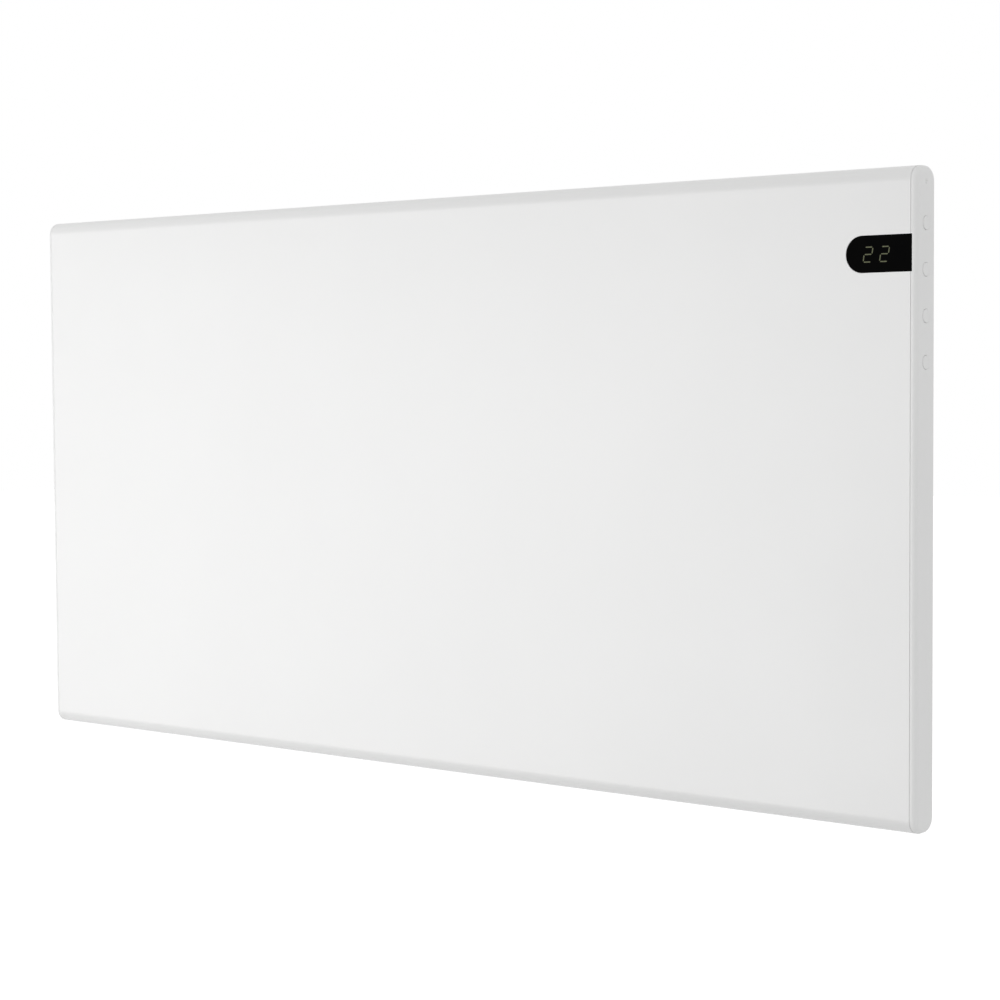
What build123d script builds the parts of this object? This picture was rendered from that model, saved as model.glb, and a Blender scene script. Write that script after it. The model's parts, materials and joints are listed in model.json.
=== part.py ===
from build123d import *
import os

# A slim wall-hung panel heater on its wall bracket, in millimetres.
# X runs to the right as seen from the front, Y runs towards the wall and Z runs up.
# The origin lies on the wall, at the centre of the bracket's four wall screws.
# The front panel is a sheet folded round the top and bottom edges. A moulded cap closes each
# end, a pressed tray closes the back, and the heater hangs on two pins of the bracket.

# Overall sizes
width = 725.0
height = 370.0
depth = 84.0  # wall to front face
shell_depth = 21.0  # front face to the back of the folded shell
edge_round = 8.5  # the long edges, top and bottom
sheet = 0.8  # painted steel of the panel and the tray
fit = 0.2  # gap round pieces that plug together

# End caps
cap_strip = 3.0  # the part of a cap that shows from the front
cap_round = 2.6
seam = 1.0  # groove between the sheet and a cap
seam_depth = 0.25
spigot_depth = 12.0
spigot_wall = 1.8
cap_screw_pitch = 240.0
cap_screw_inset = 7.5  # from the cap's seat
boss_size = 8.0

# Rear tray
wall_gap = 29.0  # wall to the back of the tray
tray_inset_x = 24.0  # from the ends of the heater
tray_inset_z = 22.0  # from the top and bottom
tray_corner = 6.0
tray_bend = 3.0
tray_flange = 12.0
return_flange = 12.5  # flat part of the panel's rear flanges
tray_screw_end = 98.5  # from the ends of the tray
tray_screw_inset = 15.0
slot_length = 72.0
slot_width = 5.0
slot_gap = 14.0
slot_margin = 10.0  # from the last slot to the tray's end wall
slot_pitch_y = 9.0
outlet_rows = 3
inlet_rows = 2
sensor_slot_length = 24.0
sensor_slot_gap = 8.0

# Screws and rivets
screw_radius = 1.5
screw_head_radius = 3.2
screw_head = 2.0
screw_length = 7.0
shank_sides = 8  # screws and rivets repeat, so they and their holes are drawn with few sides
head_sides = 12
hole_gap = 0.06  # radial gap round a shank

# Wall bracket
steel = 1.5
screw_pitch_x = 400.0
screw_pitch_z = 220.0
wall_screw_radius = 3.0
upright_width = 30.0
upright_tail = 12.0  # below the hinge pin
rail_rise = 5.0  # underside of the shelf above the tray
rail_overhang = 28.0  # past the wall screws
rail_gap = 3.0  # from the rail's lip to the tray
rail_lip = 23.0
rail_back_lip = 12.0
rail_bend = 2.0
flange_depth = 12.0
flange_top_gap = 1.8  # from the rail's lip
flange_bend = 4.0
arm_rise = 34.0  # from the pin up to where the flange is narrow
head_fall = 60.0  # from the rail down to where the flange is narrow
cross_rail_rise = 20.0  # above the hinge pin
cross_rail_height = 24.0
cross_rail_y = -12.0
cross_rail_bend = 3.0
bracket_rivet_radius = 2.0
bracket_rivet_head = 3.6
bracket_rivet_rise = 1.4

# Lower hinge
pin_radius = 3.0
pin_back = 9.0  # from the tray towards the wall
pin_rise = 23.0  # above the underside of the tray
pin_head = 1.5
pin_head_thickness = 1.4
arm_radius = 6.0
ear_thickness = 2.5
ear_radius = 7.0
ear_foot = 1.5
ear_foot_width = 13.0
ear_foot_height = 30.0
pin_gap = 0.08

# Quarter-turn locks
lock_inset = 50.0  # from the wall screws
lock_back = 14.0  # from the tray towards the wall
lock_rivet_radius = 3.0
lock_hub_radius = 8.0
lock_hub_height = 6.2
lock_arm_width = 9.0
lock_arm = 3.4
lock_reach = 18.5
lock_peg_radius = 2.5
lock_gap = 0.3
lock_head = 1.3
lock_head_thickness = 1.4
lock_head_gap = 0.4
lock_grip_height = 3.6
lock_grip_width = 3.6
lock_grip_inset = 5.0
lock_grip_taper = 4.0
lock_peg_lift = 1.0  # above the rail
catch_width = 12.0
catch_height = 12.0

# Bumpers
bumper_inset = 100.0  # from the wall screws
bumper_rise = 6.5  # above the lower edge of the rail's lip
bumper_radius = 6.0
bumper_stem = 4.4
bumper_head = 7.0
bumper_head_thickness = 1.5
bumper_gap = 0.3
bumper_taper = 8.0

# Display and keys
display_radius = 10.15
display_inset = 31.4  # from the cap's seat to the centre of the window's round end
display_drop = 47.9  # from the top of the heater
display_recess = 0.15
lens_flange = 1.5
lens_thickness = 1.2
module_width = 24.0
module_height = 13.0
module_depth = 2.6
module_inset = 9.5  # from the centre of the window's round end
carrier_margin = 6.0
carrier_shift = 2.0
board = 1.2
key_board_gap = 0.9  # from the end of the spigot
key_board_margin = 46.0
post_size = 6.0
key_radius = 3.8
key_gap = 0.12
key_edge = 0.4
key_pitch = 25.5
key_count = 4
key_drop = 31.5  # from the top of the heater to the upper key
key_proud = 0.3
key_collar = 1.6
key_collar_size = 10.5
key_collar_gap = 0.3
key_stem = 3.5
key_travel = 0.8
switch_size = 6.0
switch_height = 3.5
plunger_size = 3.0
plunger_root = 0.3
plunger_gap = 0.06
plunger_proud = 1.0
lamp_drop = 8.8  # from the top of the heater
lamp_radius = 1.1
lamp_tail = 3.0
lamp_tail_size = 4.2

# Heating element
element_rise = 63.0  # above the underside of the tray
element_inset = 77.5  # from the left end of the heater
element_end_gap = 30.0  # to the baffle
element_back = 20.2  # from the inside of the tray's back
rod_radius = 4.0
hub_radius = 6.5
arm_share = 0.72  # arm length as a share of the room between shield and tray
arm_thickness = 1.6
arm_lean = 32.0  # degrees from upright
rib_thickness = 1.2
rib_height = 7.0
rib_shares = (0.42, 0.62, 0.82)
hanger = 1.0
hanger_gap = 10.0
bush_size = 14.0  # square, so that it can't turn
bush_length = 8.0
hanger_height = 24.0
hanger_margin = 4.0
hanger_foot = 12.0
terminal_length = 8.0
terminal_pitch = 3.8
terminal_pin = 1.6
terminal_tab = 6.3
terminal_tab_thickness = 0.8

# Shield and baffle
shield = 0.6
shield_gap = 12.0  # from the front face
shield_lip_inset = 11.0  # from the top and bottom of the heater
shield_bend = 2.5
shield_end_gap = 2.0
shield_baffle_gap = 1.0
baffle_inset = 107.5  # from the right end of the heater
baffle_end_gap = 5.0
baffle_side_gap = 0.3
baffle_foot = 10.0

# Electronics
cutout_z = -20.0
cutout_radius = 8.0
cutout_height = 6.0
cutout_tab = 6.3
cutout_tab_length = 8.0
cutout_foot = 32.0
cutout_foot_width = 10.0
standoff = 4.6
standoff_radius = 3.4
standoff_inset = 4.0
power_board_inset = 43.0  # from the baffle
power_board_z = 0.0
power_board_width = 62.0
power_board_height = 150.0
power_board_thickness = 1.6
gland_inset = 45.0  # from the baffle
gland_bore = 3.9
gland_thread = 8.0
gland_hex = 10.0
gland_hex_height = 4.0
gland_cone = 9.0
gland_taper = 12.0
gland_thread_length = 9.0
gland_nut_height = 4.5
gland_nut_margin = 0.6
gland_hole_sides = 8
relay_place = (-18.0, -30.0)
relay_size = (15.5, 19.0, 15.5)
transformer_place = (8.0, 32.0)
transformer_size = (32.0, 27.0, 24.0)
capacitor_places = ((14.0, 4.0, 6.5), (-20.0, 6.0, 5.0))  # x, z and radius
capacitor_height = 20.0
fuse_place = (14.0, -18.0)
fuse_size = (8.4, 4.2, 7.6)
block_drop = 58.0
block_size = (40.0, 12.0, 12.0)
block_ways = 5
block_pitch = 7.5
block_entry = 4.4
block_entry_depth = 5.0
sensor_radius = 2.5
sensor_length = 16.0
sensor_rise = 4.0
holder_back = 7.0
holder_size = (14.0, 6.0, 16.0)
holder_arm = (8.0, 10.0, 6.0)
earth_place = (24.0, -110.0)  # from the board's centre
earth_hex = 4.5
earth_nut_height = 3.0
earth_stud = 2.0
earth_stud_length = 8.0
earth_top_hex = 4.0
earth_top_lift = 2.0

# Places that follow from the sizes above
front = -depth
shell_back = front + shell_depth
shell_mid = front + shell_depth / 2
tray_back = -wall_gap
tray_inner_back = tray_back - sheet
cap_seat = width / 2 - cap_strip
panel_end = cap_seat - seam
tray_x = width / 2 - tray_inset_x
tray_z = height / 2 - tray_inset_z
tray_screw_x = tray_x - tray_screw_end
tray_screw_z = height / 2 - tray_screw_inset
cap_screw_x = cap_seat - cap_screw_inset
tray_mid_y = (shell_back + tray_back) / 2
pin_y = tray_back + pin_back
pin_z = -tray_z + pin_rise
upright_bottom = pin_z - upright_tail
cross_rail_z = pin_z + cross_rail_rise
rail_z = tray_z + rail_rise
rail_half = screw_pitch_x / 2 + rail_overhang
rail_shelf = wall_gap - rail_gap
shelf_top = rail_z + steel
flange_top_depth = rail_shelf - flange_top_gap
lock_x = screw_pitch_x / 2 - lock_inset
lock_y = tray_back + lock_back
bumper_x = screw_pitch_x / 2 - bumper_inset
bumper_z = shelf_top - rail_lip + bumper_rise
baffle_x = width / 2 - baffle_inset
baffle_height = 2 * (tray_z - baffle_end_gap)
shield_y = front + shield_gap
shield_lip_top = height / 2 - shield_lip_inset
element_y = tray_inner_back - element_back
element_z = -tray_z + element_rise
element_left = element_inset - width / 2
element_right = baffle_x - element_end_gap
arm_length = arm_share * (tray_inner_back - shield_y - shield)
slot_pitch_x = slot_length + slot_gap
slots_x = (baffle_x - tray_x) / 2
slot_columns = int((baffle_x + tray_x - 2 * slot_margin + slot_gap) / slot_pitch_x)
gland_x = baffle_x + gland_inset
gland_y = tray_mid_y
power_board_x = baffle_x + power_board_inset
power_board_y = tray_inner_back - standoff
key_top = height / 2 - key_drop
display_x = cap_seat - display_inset
display_z = height / 2 - display_drop
lamp_z = height / 2 - lamp_drop
key_y = shell_mid
key_places = [key_top - key_pitch * n for n in range(key_count)]
module_front = front + sheet + lens_thickness
display_board_front = module_front + module_depth
spigot_inside = shell_back - sheet - fit - spigot_wall
key_board_front = cap_seat - spigot_depth - key_board_gap
key_board_low = display_board_front + board + fit
key_board_high = spigot_inside - 2 * fit
key_board_width = key_board_high - key_board_low
key_board_y = (key_board_high + key_board_low) / 2
key_board_length = key_top - key_places[-1] + key_board_margin
post_places = (key_top + key_pitch / 2, key_places[-1] - key_pitch / 2)
collar_top = cap_seat - key_collar_gap
sensor_x = baffle_x + sensor_slot_gap + sensor_slot_length / 2
sides = ((-1, "left"), (1, "right"))

os.makedirs("parts", exist_ok=True)


def at_x(x):
    """Plane across the heater at x, with Y to the right and Z up."""
    return Plane.YZ.offset(x)


def at_y(y):
    """Plane along the front at y, facing the room, with X to the right and Z up."""
    return Plane.XZ.offset(-y)


def at_z(z):
    """Level plane at height z."""
    return Plane.XY.offset(z)


def folded_profile(points, bend, thickness):
    """Section of a folded sheet that lies to the left of a path through the points."""
    with BuildSketch() as profile:
        with BuildLine():
            FilletPolyline(*points, radius=bend)
            offset(amount=thickness, side=Side.LEFT)
        make_face()
    return profile.sketch


def save(piece, label):
    """Name a finished piece and write it to its file."""
    piece.part.label = label
    export_step(piece.part, f"parts/{label}.step")


# ---------------------------------------------------------------- wall bracket

for side, name in sides:
    upright_x = side * screw_pitch_x / 2
    with BuildPart() as upright:
        # the web lies on the wall
        with BuildSketch(at_y(0)):
            with Locations((upright_x, (rail_z + upright_bottom) / 2)):
                Rectangle(upright_width, rail_z - upright_bottom)
        extrude(amount=steel)
        # two side flanges, deeper at the pin and under the rail
        for edge in (-1, 1):
            edge_x = upright_x + edge * (upright_width / 2 - steel / 2)
            with BuildSketch(at_x(edge_x)) as flange:
                with BuildLine():
                    Polyline(
                        (0, upright_bottom),
                        (-flange_depth, upright_bottom),
                        (pin_y, pin_z - arm_radius),
                    )
                    ThreePointArc(
                        (pin_y, pin_z - arm_radius),
                        (pin_y - arm_radius, pin_z),
                        (pin_y, pin_z + arm_radius),
                    )
                    Polyline(
                        (pin_y, pin_z + arm_radius),
                        (-flange_depth, pin_z + arm_rise),
                        (-flange_depth, rail_z - head_fall),
                        (-flange_top_depth, rail_z - rail_lip),
                        (-flange_top_depth, rail_z),
                        (0, rail_z),
                        (0, upright_bottom),
                    )
                make_face()
                waist = flange.vertices().filter_by_position(Axis.X, -flange_depth - fit, -flange_depth + fit)
                fillet(waist, radius=flange_bend)
            extrude(amount=steel / 2, both=True)
        # a tab under the shelf, for spot welds
        with BuildSketch(at_z(rail_z)):
            with Locations((upright_x, -flange_top_depth / 2)):
                Rectangle(upright_width, flange_top_depth - flange_top_gap)
        extrude(amount=-steel)
        # wall screws, hinge pin and the rivets of the cross rail
        with BuildSketch(at_y(0)):
            with Locations((upright_x, screw_pitch_z / 2), (upright_x, -screw_pitch_z / 2)):
                Circle(wall_screw_radius)
        extrude(amount=steel, mode=Mode.SUBTRACT)
        with BuildSketch(at_x(upright_x)):
            with Locations((pin_y, pin_z)):
                Circle(pin_radius + hole_gap)
        extrude(amount=upright_width, both=True, mode=Mode.SUBTRACT)
        with BuildSketch(at_x(upright_x)):
            with Locations((cross_rail_y / 2 - steel / 2, cross_rail_z)):
                RegularPolygon(bracket_rivet_radius + hole_gap, shank_sides)
        extrude(amount=-side * upright_width, mode=Mode.SUBTRACT)
    save(upright, f"{name}_upright")

    with BuildPart() as hinge_pin:
        with BuildSketch(at_x(upright_x)):
            with Locations((pin_y, pin_z)):
                Circle(pin_radius)
        extrude(amount=upright_width / 2 + hole_gap, both=True)
        # a wide head outside the outer flange
        with BuildSketch(at_x(upright_x + side * (upright_width / 2 + hole_gap))):
            with Locations((pin_y, pin_z)):
                Circle(pin_radius + pin_head)
        extrude(amount=side * pin_head_thickness)
    save(hinge_pin, f"{name}_hinge_pin")

    with BuildPart() as lock_rivet:
        # a flat nut under the shelf
        with BuildSketch(at_z(rail_z - bracket_rivet_rise)):
            with Locations((side * lock_x, lock_y)):
                RegularPolygon(lock_rivet_radius + 2 * lock_head, 6)
        extrude(amount=bracket_rivet_rise)
        with BuildSketch(at_z(rail_z)):
            with Locations((side * lock_x, lock_y)):
                Circle(lock_rivet_radius)
        extrude(amount=steel + lock_gap + lock_hub_height + lock_head_gap)
        with BuildSketch(at_z(shelf_top + lock_gap + lock_hub_height + lock_head_gap)):
            with Locations((side * lock_x, lock_y)):
                Circle(lock_rivet_radius + lock_head)
        extrude(amount=lock_head_thickness)
    save(lock_rivet, f"{name}_lock_rivet")

    # the lock is drawn released, with its arm along the rail
    with BuildPart() as turn_lock:
        hub_bottom = shelf_top + lock_gap
        arm_bottom = hub_bottom + lock_hub_height
        with BuildSketch(at_z(hub_bottom)):
            with Locations((side * lock_x, lock_y)):
                Circle(lock_hub_radius)
        extrude(amount=lock_hub_height + lock_arm)
        with BuildSketch(at_z(arm_bottom)):
            with Locations((side * (lock_x + lock_reach / 2), lock_y)):
                SlotOverall(lock_reach + lock_arm_width, lock_arm_width)
        extrude(amount=lock_arm)
        # the peg drops in front of the catch when the lock is turned
        with BuildSketch(at_z(arm_bottom)):
            with Locations((side * (lock_x + lock_reach), lock_y)):
                Circle(lock_peg_radius)
        extrude(amount=lock_peg_lift - lock_hub_height)
        # a raised grip on the arm
        with BuildSketch(at_z(arm_bottom + lock_arm)):
            with Locations((side * (lock_x + lock_reach / 2 + lock_grip_inset), lock_y)):
                Rectangle(lock_reach - lock_grip_inset, lock_grip_width)
        extrude(amount=lock_grip_height, taper=lock_grip_taper)
        # bore for the rivet's shank and a recess for its head
        with BuildSketch(at_z(hub_bottom)):
            with Locations((side * lock_x, lock_y)):
                Circle(lock_rivet_radius + hole_gap)
        extrude(amount=lock_hub_height + lock_arm, mode=Mode.SUBTRACT)
        with BuildSketch(at_z(arm_bottom)):
            with Locations((side * lock_x, lock_y)):
                Circle(lock_rivet_radius + lock_head + fit)
        extrude(amount=lock_arm, mode=Mode.SUBTRACT)
    save(turn_lock, f"{name}_turn_lock")

# the top rail: a lip in front, a shelf and a lip up the wall
with BuildPart() as top_rail:
    with BuildSketch(at_x(0)):
        add(
            folded_profile(
                [
                    (-steel, shelf_top + rail_back_lip),
                    (-steel, shelf_top),
                    (-rail_shelf, shelf_top),
                    (-rail_shelf, shelf_top - rail_lip),
                ],
                rail_bend,
                steel,
            )
        )
    extrude(amount=rail_half, both=True)
    with BuildSketch(at_z(shelf_top)):
        with Locations((-lock_x, lock_y), (lock_x, lock_y)):
            Circle(lock_rivet_radius + hole_gap)
    extrude(amount=-steel, mode=Mode.SUBTRACT)
    with BuildSketch(at_y(-rail_shelf)):
        with Locations((-bumper_x, bumper_z), (bumper_x, bumper_z)):
            Rectangle(bumper_stem + 2 * hole_gap, bumper_stem + 2 * hole_gap)
    extrude(amount=-steel, mode=Mode.SUBTRACT)
save(top_rail, "top_rail")

# the cross rail is a strap whose ends are folded back along the uprights
with BuildPart() as bottom_rail:
    strap_half = screw_pitch_x / 2 - upright_width / 2
    with BuildSketch(at_z(cross_rail_z)):
        with BuildLine():
            FilletPolyline(
                (-strap_half, -steel),
                (-strap_half, cross_rail_y - steel),
                (strap_half, cross_rail_y - steel),
                (strap_half, -steel),
                radius=cross_rail_bend,
            )
            offset(amount=steel, side=Side.LEFT)
        make_face()
    extrude(amount=cross_rail_height / 2, both=True)
    with BuildSketch(at_x(0)):
        with Locations((cross_rail_y / 2 - steel / 2, cross_rail_z)):
            RegularPolygon(bracket_rivet_radius + hole_gap, shank_sides)
    extrude(amount=screw_pitch_x / 2, both=True, mode=Mode.SUBTRACT)
save(bottom_rail, "bottom_rail")

with BuildPart() as bracket_rivets:
    for side, name in sides:
        # through the end of the cross rail and the upright's flange
        joint_x = side * (screw_pitch_x / 2 - upright_width / 2)
        with BuildSketch(at_x(joint_x)):
            with Locations((cross_rail_y / 2 - steel / 2, cross_rail_z)):
                RegularPolygon(bracket_rivet_radius, shank_sides)
        extrude(amount=steel, both=True)
        with BuildSketch(at_x(joint_x - side * steel)):
            with Locations((cross_rail_y / 2 - steel / 2, cross_rail_z)):
                RegularPolygon(bracket_rivet_head, head_sides)
        extrude(amount=-side * bracket_rivet_rise)
save(bracket_rivets, "bracket_rivets")

with BuildPart() as rail_bumpers:
    for side, name in sides:
        with BuildSketch(at_y(-rail_shelf)):
            with Locations((side * bumper_x, bumper_z)):
                Circle(bumper_radius)
        extrude(amount=rail_gap - bumper_gap, taper=bumper_taper)
        with BuildSketch(at_y(-rail_shelf)):
            with Locations((side * bumper_x, bumper_z)):
                Rectangle(bumper_stem, bumper_stem)
        extrude(amount=-(steel + fit))
        with BuildSketch(at_y(-rail_shelf + steel + fit)):
            with Locations((side * bumper_x, bumper_z)):
                Rectangle(bumper_head, bumper_head)
        extrude(amount=-bumper_head_thickness)
save(rail_bumpers, "rail_bumpers")

# ---------------------------------------------------------------- shell

with BuildPart() as front_panel:
    with BuildSketch(at_x(0)):
        with Locations((shell_mid, 0)):
            RectangleRounded(shell_depth, height, edge_round)
            RectangleRounded(shell_depth - 2 * sheet, height - 2 * sheet, edge_round - sheet, mode=Mode.SUBTRACT)
        # the back is open between the two return flanges
        with Locations((shell_back, 0)):
            Rectangle(4 * sheet, height - 2 * (edge_round + return_flange), mode=Mode.SUBTRACT)
    extrude(amount=panel_end, both=True)
    # notch for the display window, open to the seam
    with BuildSketch(at_y(front)):
        with Locations((display_x, display_z)):
            Circle(display_radius + fit)
        with Locations((panel_end, display_z)):
            Rectangle(2 * (panel_end - display_x), 2 * (display_radius + fit))
    extrude(amount=-2 * sheet, mode=Mode.SUBTRACT)
    with BuildSketch(at_y(shell_back)):
        with GridLocations(2 * tray_screw_x, 2 * tray_screw_z, 2, 2):
            RegularPolygon(screw_radius + hole_gap, shank_sides)
    extrude(amount=sheet, mode=Mode.SUBTRACT)
save(front_panel, "front_panel")

for side, name in sides:
    with BuildPart() as cap:
        with BuildSketch(at_x(side * cap_seat)):
            with Locations((shell_mid, 0)):
                RectangleRounded(shell_depth, height, edge_round)
        extrude(amount=side * cap_strip)
        fillet(cap.faces().sort_by(Axis((0, 0, 0), (side, 0, 0)))[-1].edges(), radius=cap_round)
        # a hollow spigot plugs into the folded sheet
        inset = sheet + fit
        with BuildSketch(at_x(side * cap_seat)):
            with Locations((shell_mid, 0)):
                RectangleRounded(shell_depth - 2 * inset, height - 2 * inset, edge_round - inset)
                RectangleRounded(
                    shell_depth - 2 * (inset + spigot_wall),
                    height - 2 * (inset + spigot_wall),
                    edge_round - inset - spigot_wall,
                    mode=Mode.SUBTRACT,
                )
        extrude(amount=-side * spigot_depth)
        # a shallow land closes the seam
        with BuildSketch(at_x(side * cap_seat)):
            with Locations((shell_mid, 0)):
                RectangleRounded(shell_depth - 2 * seam_depth, height - 2 * seam_depth, edge_round - seam_depth)
                RectangleRounded(
                    shell_depth - 2 * (inset + fit),
                    height - 2 * (inset + fit),
                    edge_round - inset - fit,
                    mode=Mode.SUBTRACT,
                )
        extrude(amount=-side * (seam - fit / 2))
        # screw bosses on the spigot's rear wall
        with BuildSketch(at_y(shell_back)):
            with Locations([(side * cap_screw_x, cap_screw_pitch * n) for n in (-0.5, 0.5)]):
                Rectangle(boss_size, boss_size)
        extrude(amount=screw_length)
        with BuildSketch(at_y(shell_back)):
            with Locations([(side * cap_screw_x, cap_screw_pitch * n) for n in (-0.5, 0.5)]):
                RegularPolygon(screw_radius + hole_gap, shank_sides)
        extrude(amount=screw_length, mode=Mode.SUBTRACT)
        if side > 0:
            # posts that carry the key board
            with BuildSketch(at_x(cap_seat)):
                with Locations([(key_board_y, z) for z in post_places]):
                    Rectangle(post_size, post_size)
            extrude(amount=key_board_front - cap_seat)
            # the display's place, narrow in the seam and wider behind the sheet
            with BuildSketch(at_y(front)):
                with Locations((cap_seat - spigot_depth / 2, display_z)):
                    Rectangle(spigot_depth, 2 * (display_radius + fit))
                with Locations((panel_end - (spigot_depth - seam) / 2, display_z)):
                    Rectangle(spigot_depth - seam, 2 * (display_radius + 2 * lens_flange))
            extrude(amount=-(inset + spigot_wall + fit), mode=Mode.SUBTRACT)
            # round key holes and the status lamp
            with BuildSketch(at_x(cap_seat)):
                with Locations([(key_y, z) for z in key_places]):
                    Circle(key_radius + key_gap)
                with Locations((key_y, lamp_z)):
                    Circle(lamp_radius + hole_gap)
            extrude(amount=cap_strip, mode=Mode.SUBTRACT)
    save(cap, f"{name}_end_cap")

# ---------------------------------------------------------------- display and keys

with BuildPart() as display_window:
    lens_end = cap_seat - display_recess
    lens_centre = (display_x + lens_end) / 2
    flange_end = panel_end - fit
    with BuildSketch(at_y(front + display_recess)):
        with Locations((display_x, display_z)):
            Circle(display_radius)
        with Locations((lens_centre, display_z)):
            Rectangle(lens_end - display_x, 2 * display_radius)
    extrude(amount=-(sheet - display_recess))
    # the flange sits behind the sheet
    with BuildSketch(at_y(front + sheet)):
        with Locations((display_x, display_z)):
            Circle(display_radius + lens_flange)
        with Locations(((display_x + flange_end) / 2, display_z)):
            Rectangle(flange_end - display_x, 2 * (display_radius + lens_flange))
    extrude(amount=-lens_thickness)
save(display_window, "display_window")

module_x = display_x + module_inset
carrier_x = module_x - carrier_shift
with BuildPart() as digit_module:
    with BuildSketch(at_y(module_front)):
        with Locations((module_x, display_z)):
            Rectangle(module_width, module_height)
    extrude(amount=-module_depth)
save(digit_module, "digit_module")

carrier_width = module_width + carrier_margin
carrier_height = 2 * (display_radius + lens_flange)
with BuildPart() as display_carrier:
    with BuildSketch(at_y(module_front)):
        with Locations((carrier_x, display_z)):
            Rectangle(carrier_width, carrier_height)
        with Locations((module_x, display_z)):
            Rectangle(module_width + 2 * fit, module_height + 2 * fit, mode=Mode.SUBTRACT)
    extrude(amount=-module_depth)
save(display_carrier, "display_carrier")

with BuildPart() as display_board:
    with BuildSketch(at_y(display_board_front)):
        with Locations((carrier_x, display_z)):
            Rectangle(carrier_width, carrier_height + 2 * lens_flange)
    extrude(amount=-board)
save(display_board, "display_board")

with BuildPart() as key_board:
    with BuildSketch(at_x(key_board_front)):
        with Locations((key_board_y, (key_top + key_places[-1]) / 2)):
            Rectangle(key_board_width, key_board_length)
    extrude(amount=-board)
save(key_board, "key_board")

switch_top = key_board_front + switch_height
plunger_top = switch_top + plunger_proud
with BuildPart() as tact_switches:
    for key_z in key_places:
        with BuildSketch(at_x(key_board_front)):
            with Locations((key_y, key_z)):
                Rectangle(switch_size, switch_size)
        extrude(amount=switch_height)
        with BuildSketch(at_x(switch_top)):
            with Locations((key_y, key_z)):
                Rectangle(plunger_size + 2 * plunger_gap, plunger_size + 2 * plunger_gap)
        extrude(amount=-2 * (key_travel + plunger_root), mode=Mode.SUBTRACT)
save(tact_switches, "tact_switches")

key_names = ("power_key", "up_key", "down_key", "mode_key")
for key_name, key_z in zip(key_names, key_places):
    with BuildPart() as key:
        with BuildSketch(at_x(plunger_top)):
            with Locations((key_y, key_z)):
                Rectangle(key_stem, key_stem)
        extrude(amount=collar_top - plunger_top)
        with BuildSketch(at_x(collar_top - key_collar)):
            with Locations((key_y, key_z)):
                Rectangle(key_collar_size, key_collar_size)
        extrude(amount=key_collar)
        with BuildSketch(at_x(collar_top)):
            with Locations((key_y, key_z)):
                Circle(key_radius)
        extrude(amount=width / 2 + key_proud - collar_top)
        chamfer(key.faces().sort_by(Axis.X)[-1].edges(), length=key_edge)
    save(key, key_name)

    with BuildPart() as plunger:
        with BuildSketch(at_x(plunger_top)):
            with Locations((key_y, key_z)):
                Rectangle(plunger_size, plunger_size)
        extrude(amount=-(plunger_proud + key_travel + plunger_root))
    save(plunger, f"{key_name}_plunger")

# the round tip shows, and a square tail behind the cap takes in the light
with BuildPart() as light_guide:
    with BuildSketch(at_x(width / 2)):
        with Locations((key_y, lamp_z)):
            Circle(lamp_radius)
    extrude(amount=-cap_strip)
    with BuildSketch(at_x(cap_seat)):
        with Locations((key_y, lamp_z)):
            Rectangle(lamp_tail_size, lamp_tail_size)
    extrude(amount=-lamp_tail)
save(light_guide, "light_guide")

# ---------------------------------------------------------------- rear tray

tray_depth = tray_back - shell_back
with BuildPart() as rear_tray:
    with BuildSketch(at_y(shell_back)):
        RectangleRounded(2 * tray_x, 2 * tray_z, tray_corner)
    extrude(amount=-tray_depth)
    fillet(rear_tray.faces().sort_by(Axis.Y)[-1].edges(), radius=tray_bend)
    offset(amount=-sheet, openings=rear_tray.faces().sort_by(Axis.Y)[0])
    with BuildSketch(at_y(shell_back)):
        Rectangle(2 * panel_end, 2 * (tray_z + tray_flange))
        RectangleRounded(2 * (tray_x - sheet), 2 * (tray_z - sheet), tray_corner - sheet, mode=Mode.SUBTRACT)
    extrude(amount=-sheet)
    # two tabs stand up from the back for the locks to catch
    with BuildSketch(at_y(tray_inner_back)):
        for side, name in sides:
            with Locations((side * lock_x, tray_z - tray_bend)):
                Rectangle(catch_width, catch_height + tray_bend, align=(Align.CENTER, Align.MIN))
    extrude(amount=-sheet)
    # warm air leaves through the top wall and room air enters through the bottom wall
    with BuildSketch(at_z(tray_z)):
        with Locations((slots_x, tray_mid_y)):
            with GridLocations(slot_pitch_x, slot_pitch_y, slot_columns, outlet_rows):
                Rectangle(slot_length, slot_width)
    extrude(amount=-sheet, mode=Mode.SUBTRACT)
    with BuildSketch(at_z(-tray_z)):
        with Locations((slots_x, tray_mid_y)):
            with GridLocations(slot_pitch_x, slot_pitch_y, slot_columns, inlet_rows):
                Rectangle(slot_length, slot_width)
        # a short slot feeds the room sensor, and the gland's hole has flats that stop it turning
        with Locations((sensor_x, tray_mid_y)):
            Rectangle(sensor_slot_length, slot_width)
        with Locations((gland_x, gland_y)):
            RegularPolygon(gland_thread + hole_gap, gland_hole_sides, major_radius=False)
    extrude(amount=sheet, mode=Mode.SUBTRACT)
    with BuildSketch(at_y(shell_back)):
        with GridLocations(2 * tray_screw_x, 2 * tray_screw_z, 2, 2):
            RegularPolygon(screw_radius + hole_gap, shank_sides)
        with GridLocations(2 * cap_screw_x, cap_screw_pitch, 2, 2):
            RegularPolygon(screw_radius + hole_gap, shank_sides)
    extrude(amount=-sheet, mode=Mode.SUBTRACT)
save(rear_tray, "rear_tray")

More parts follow.
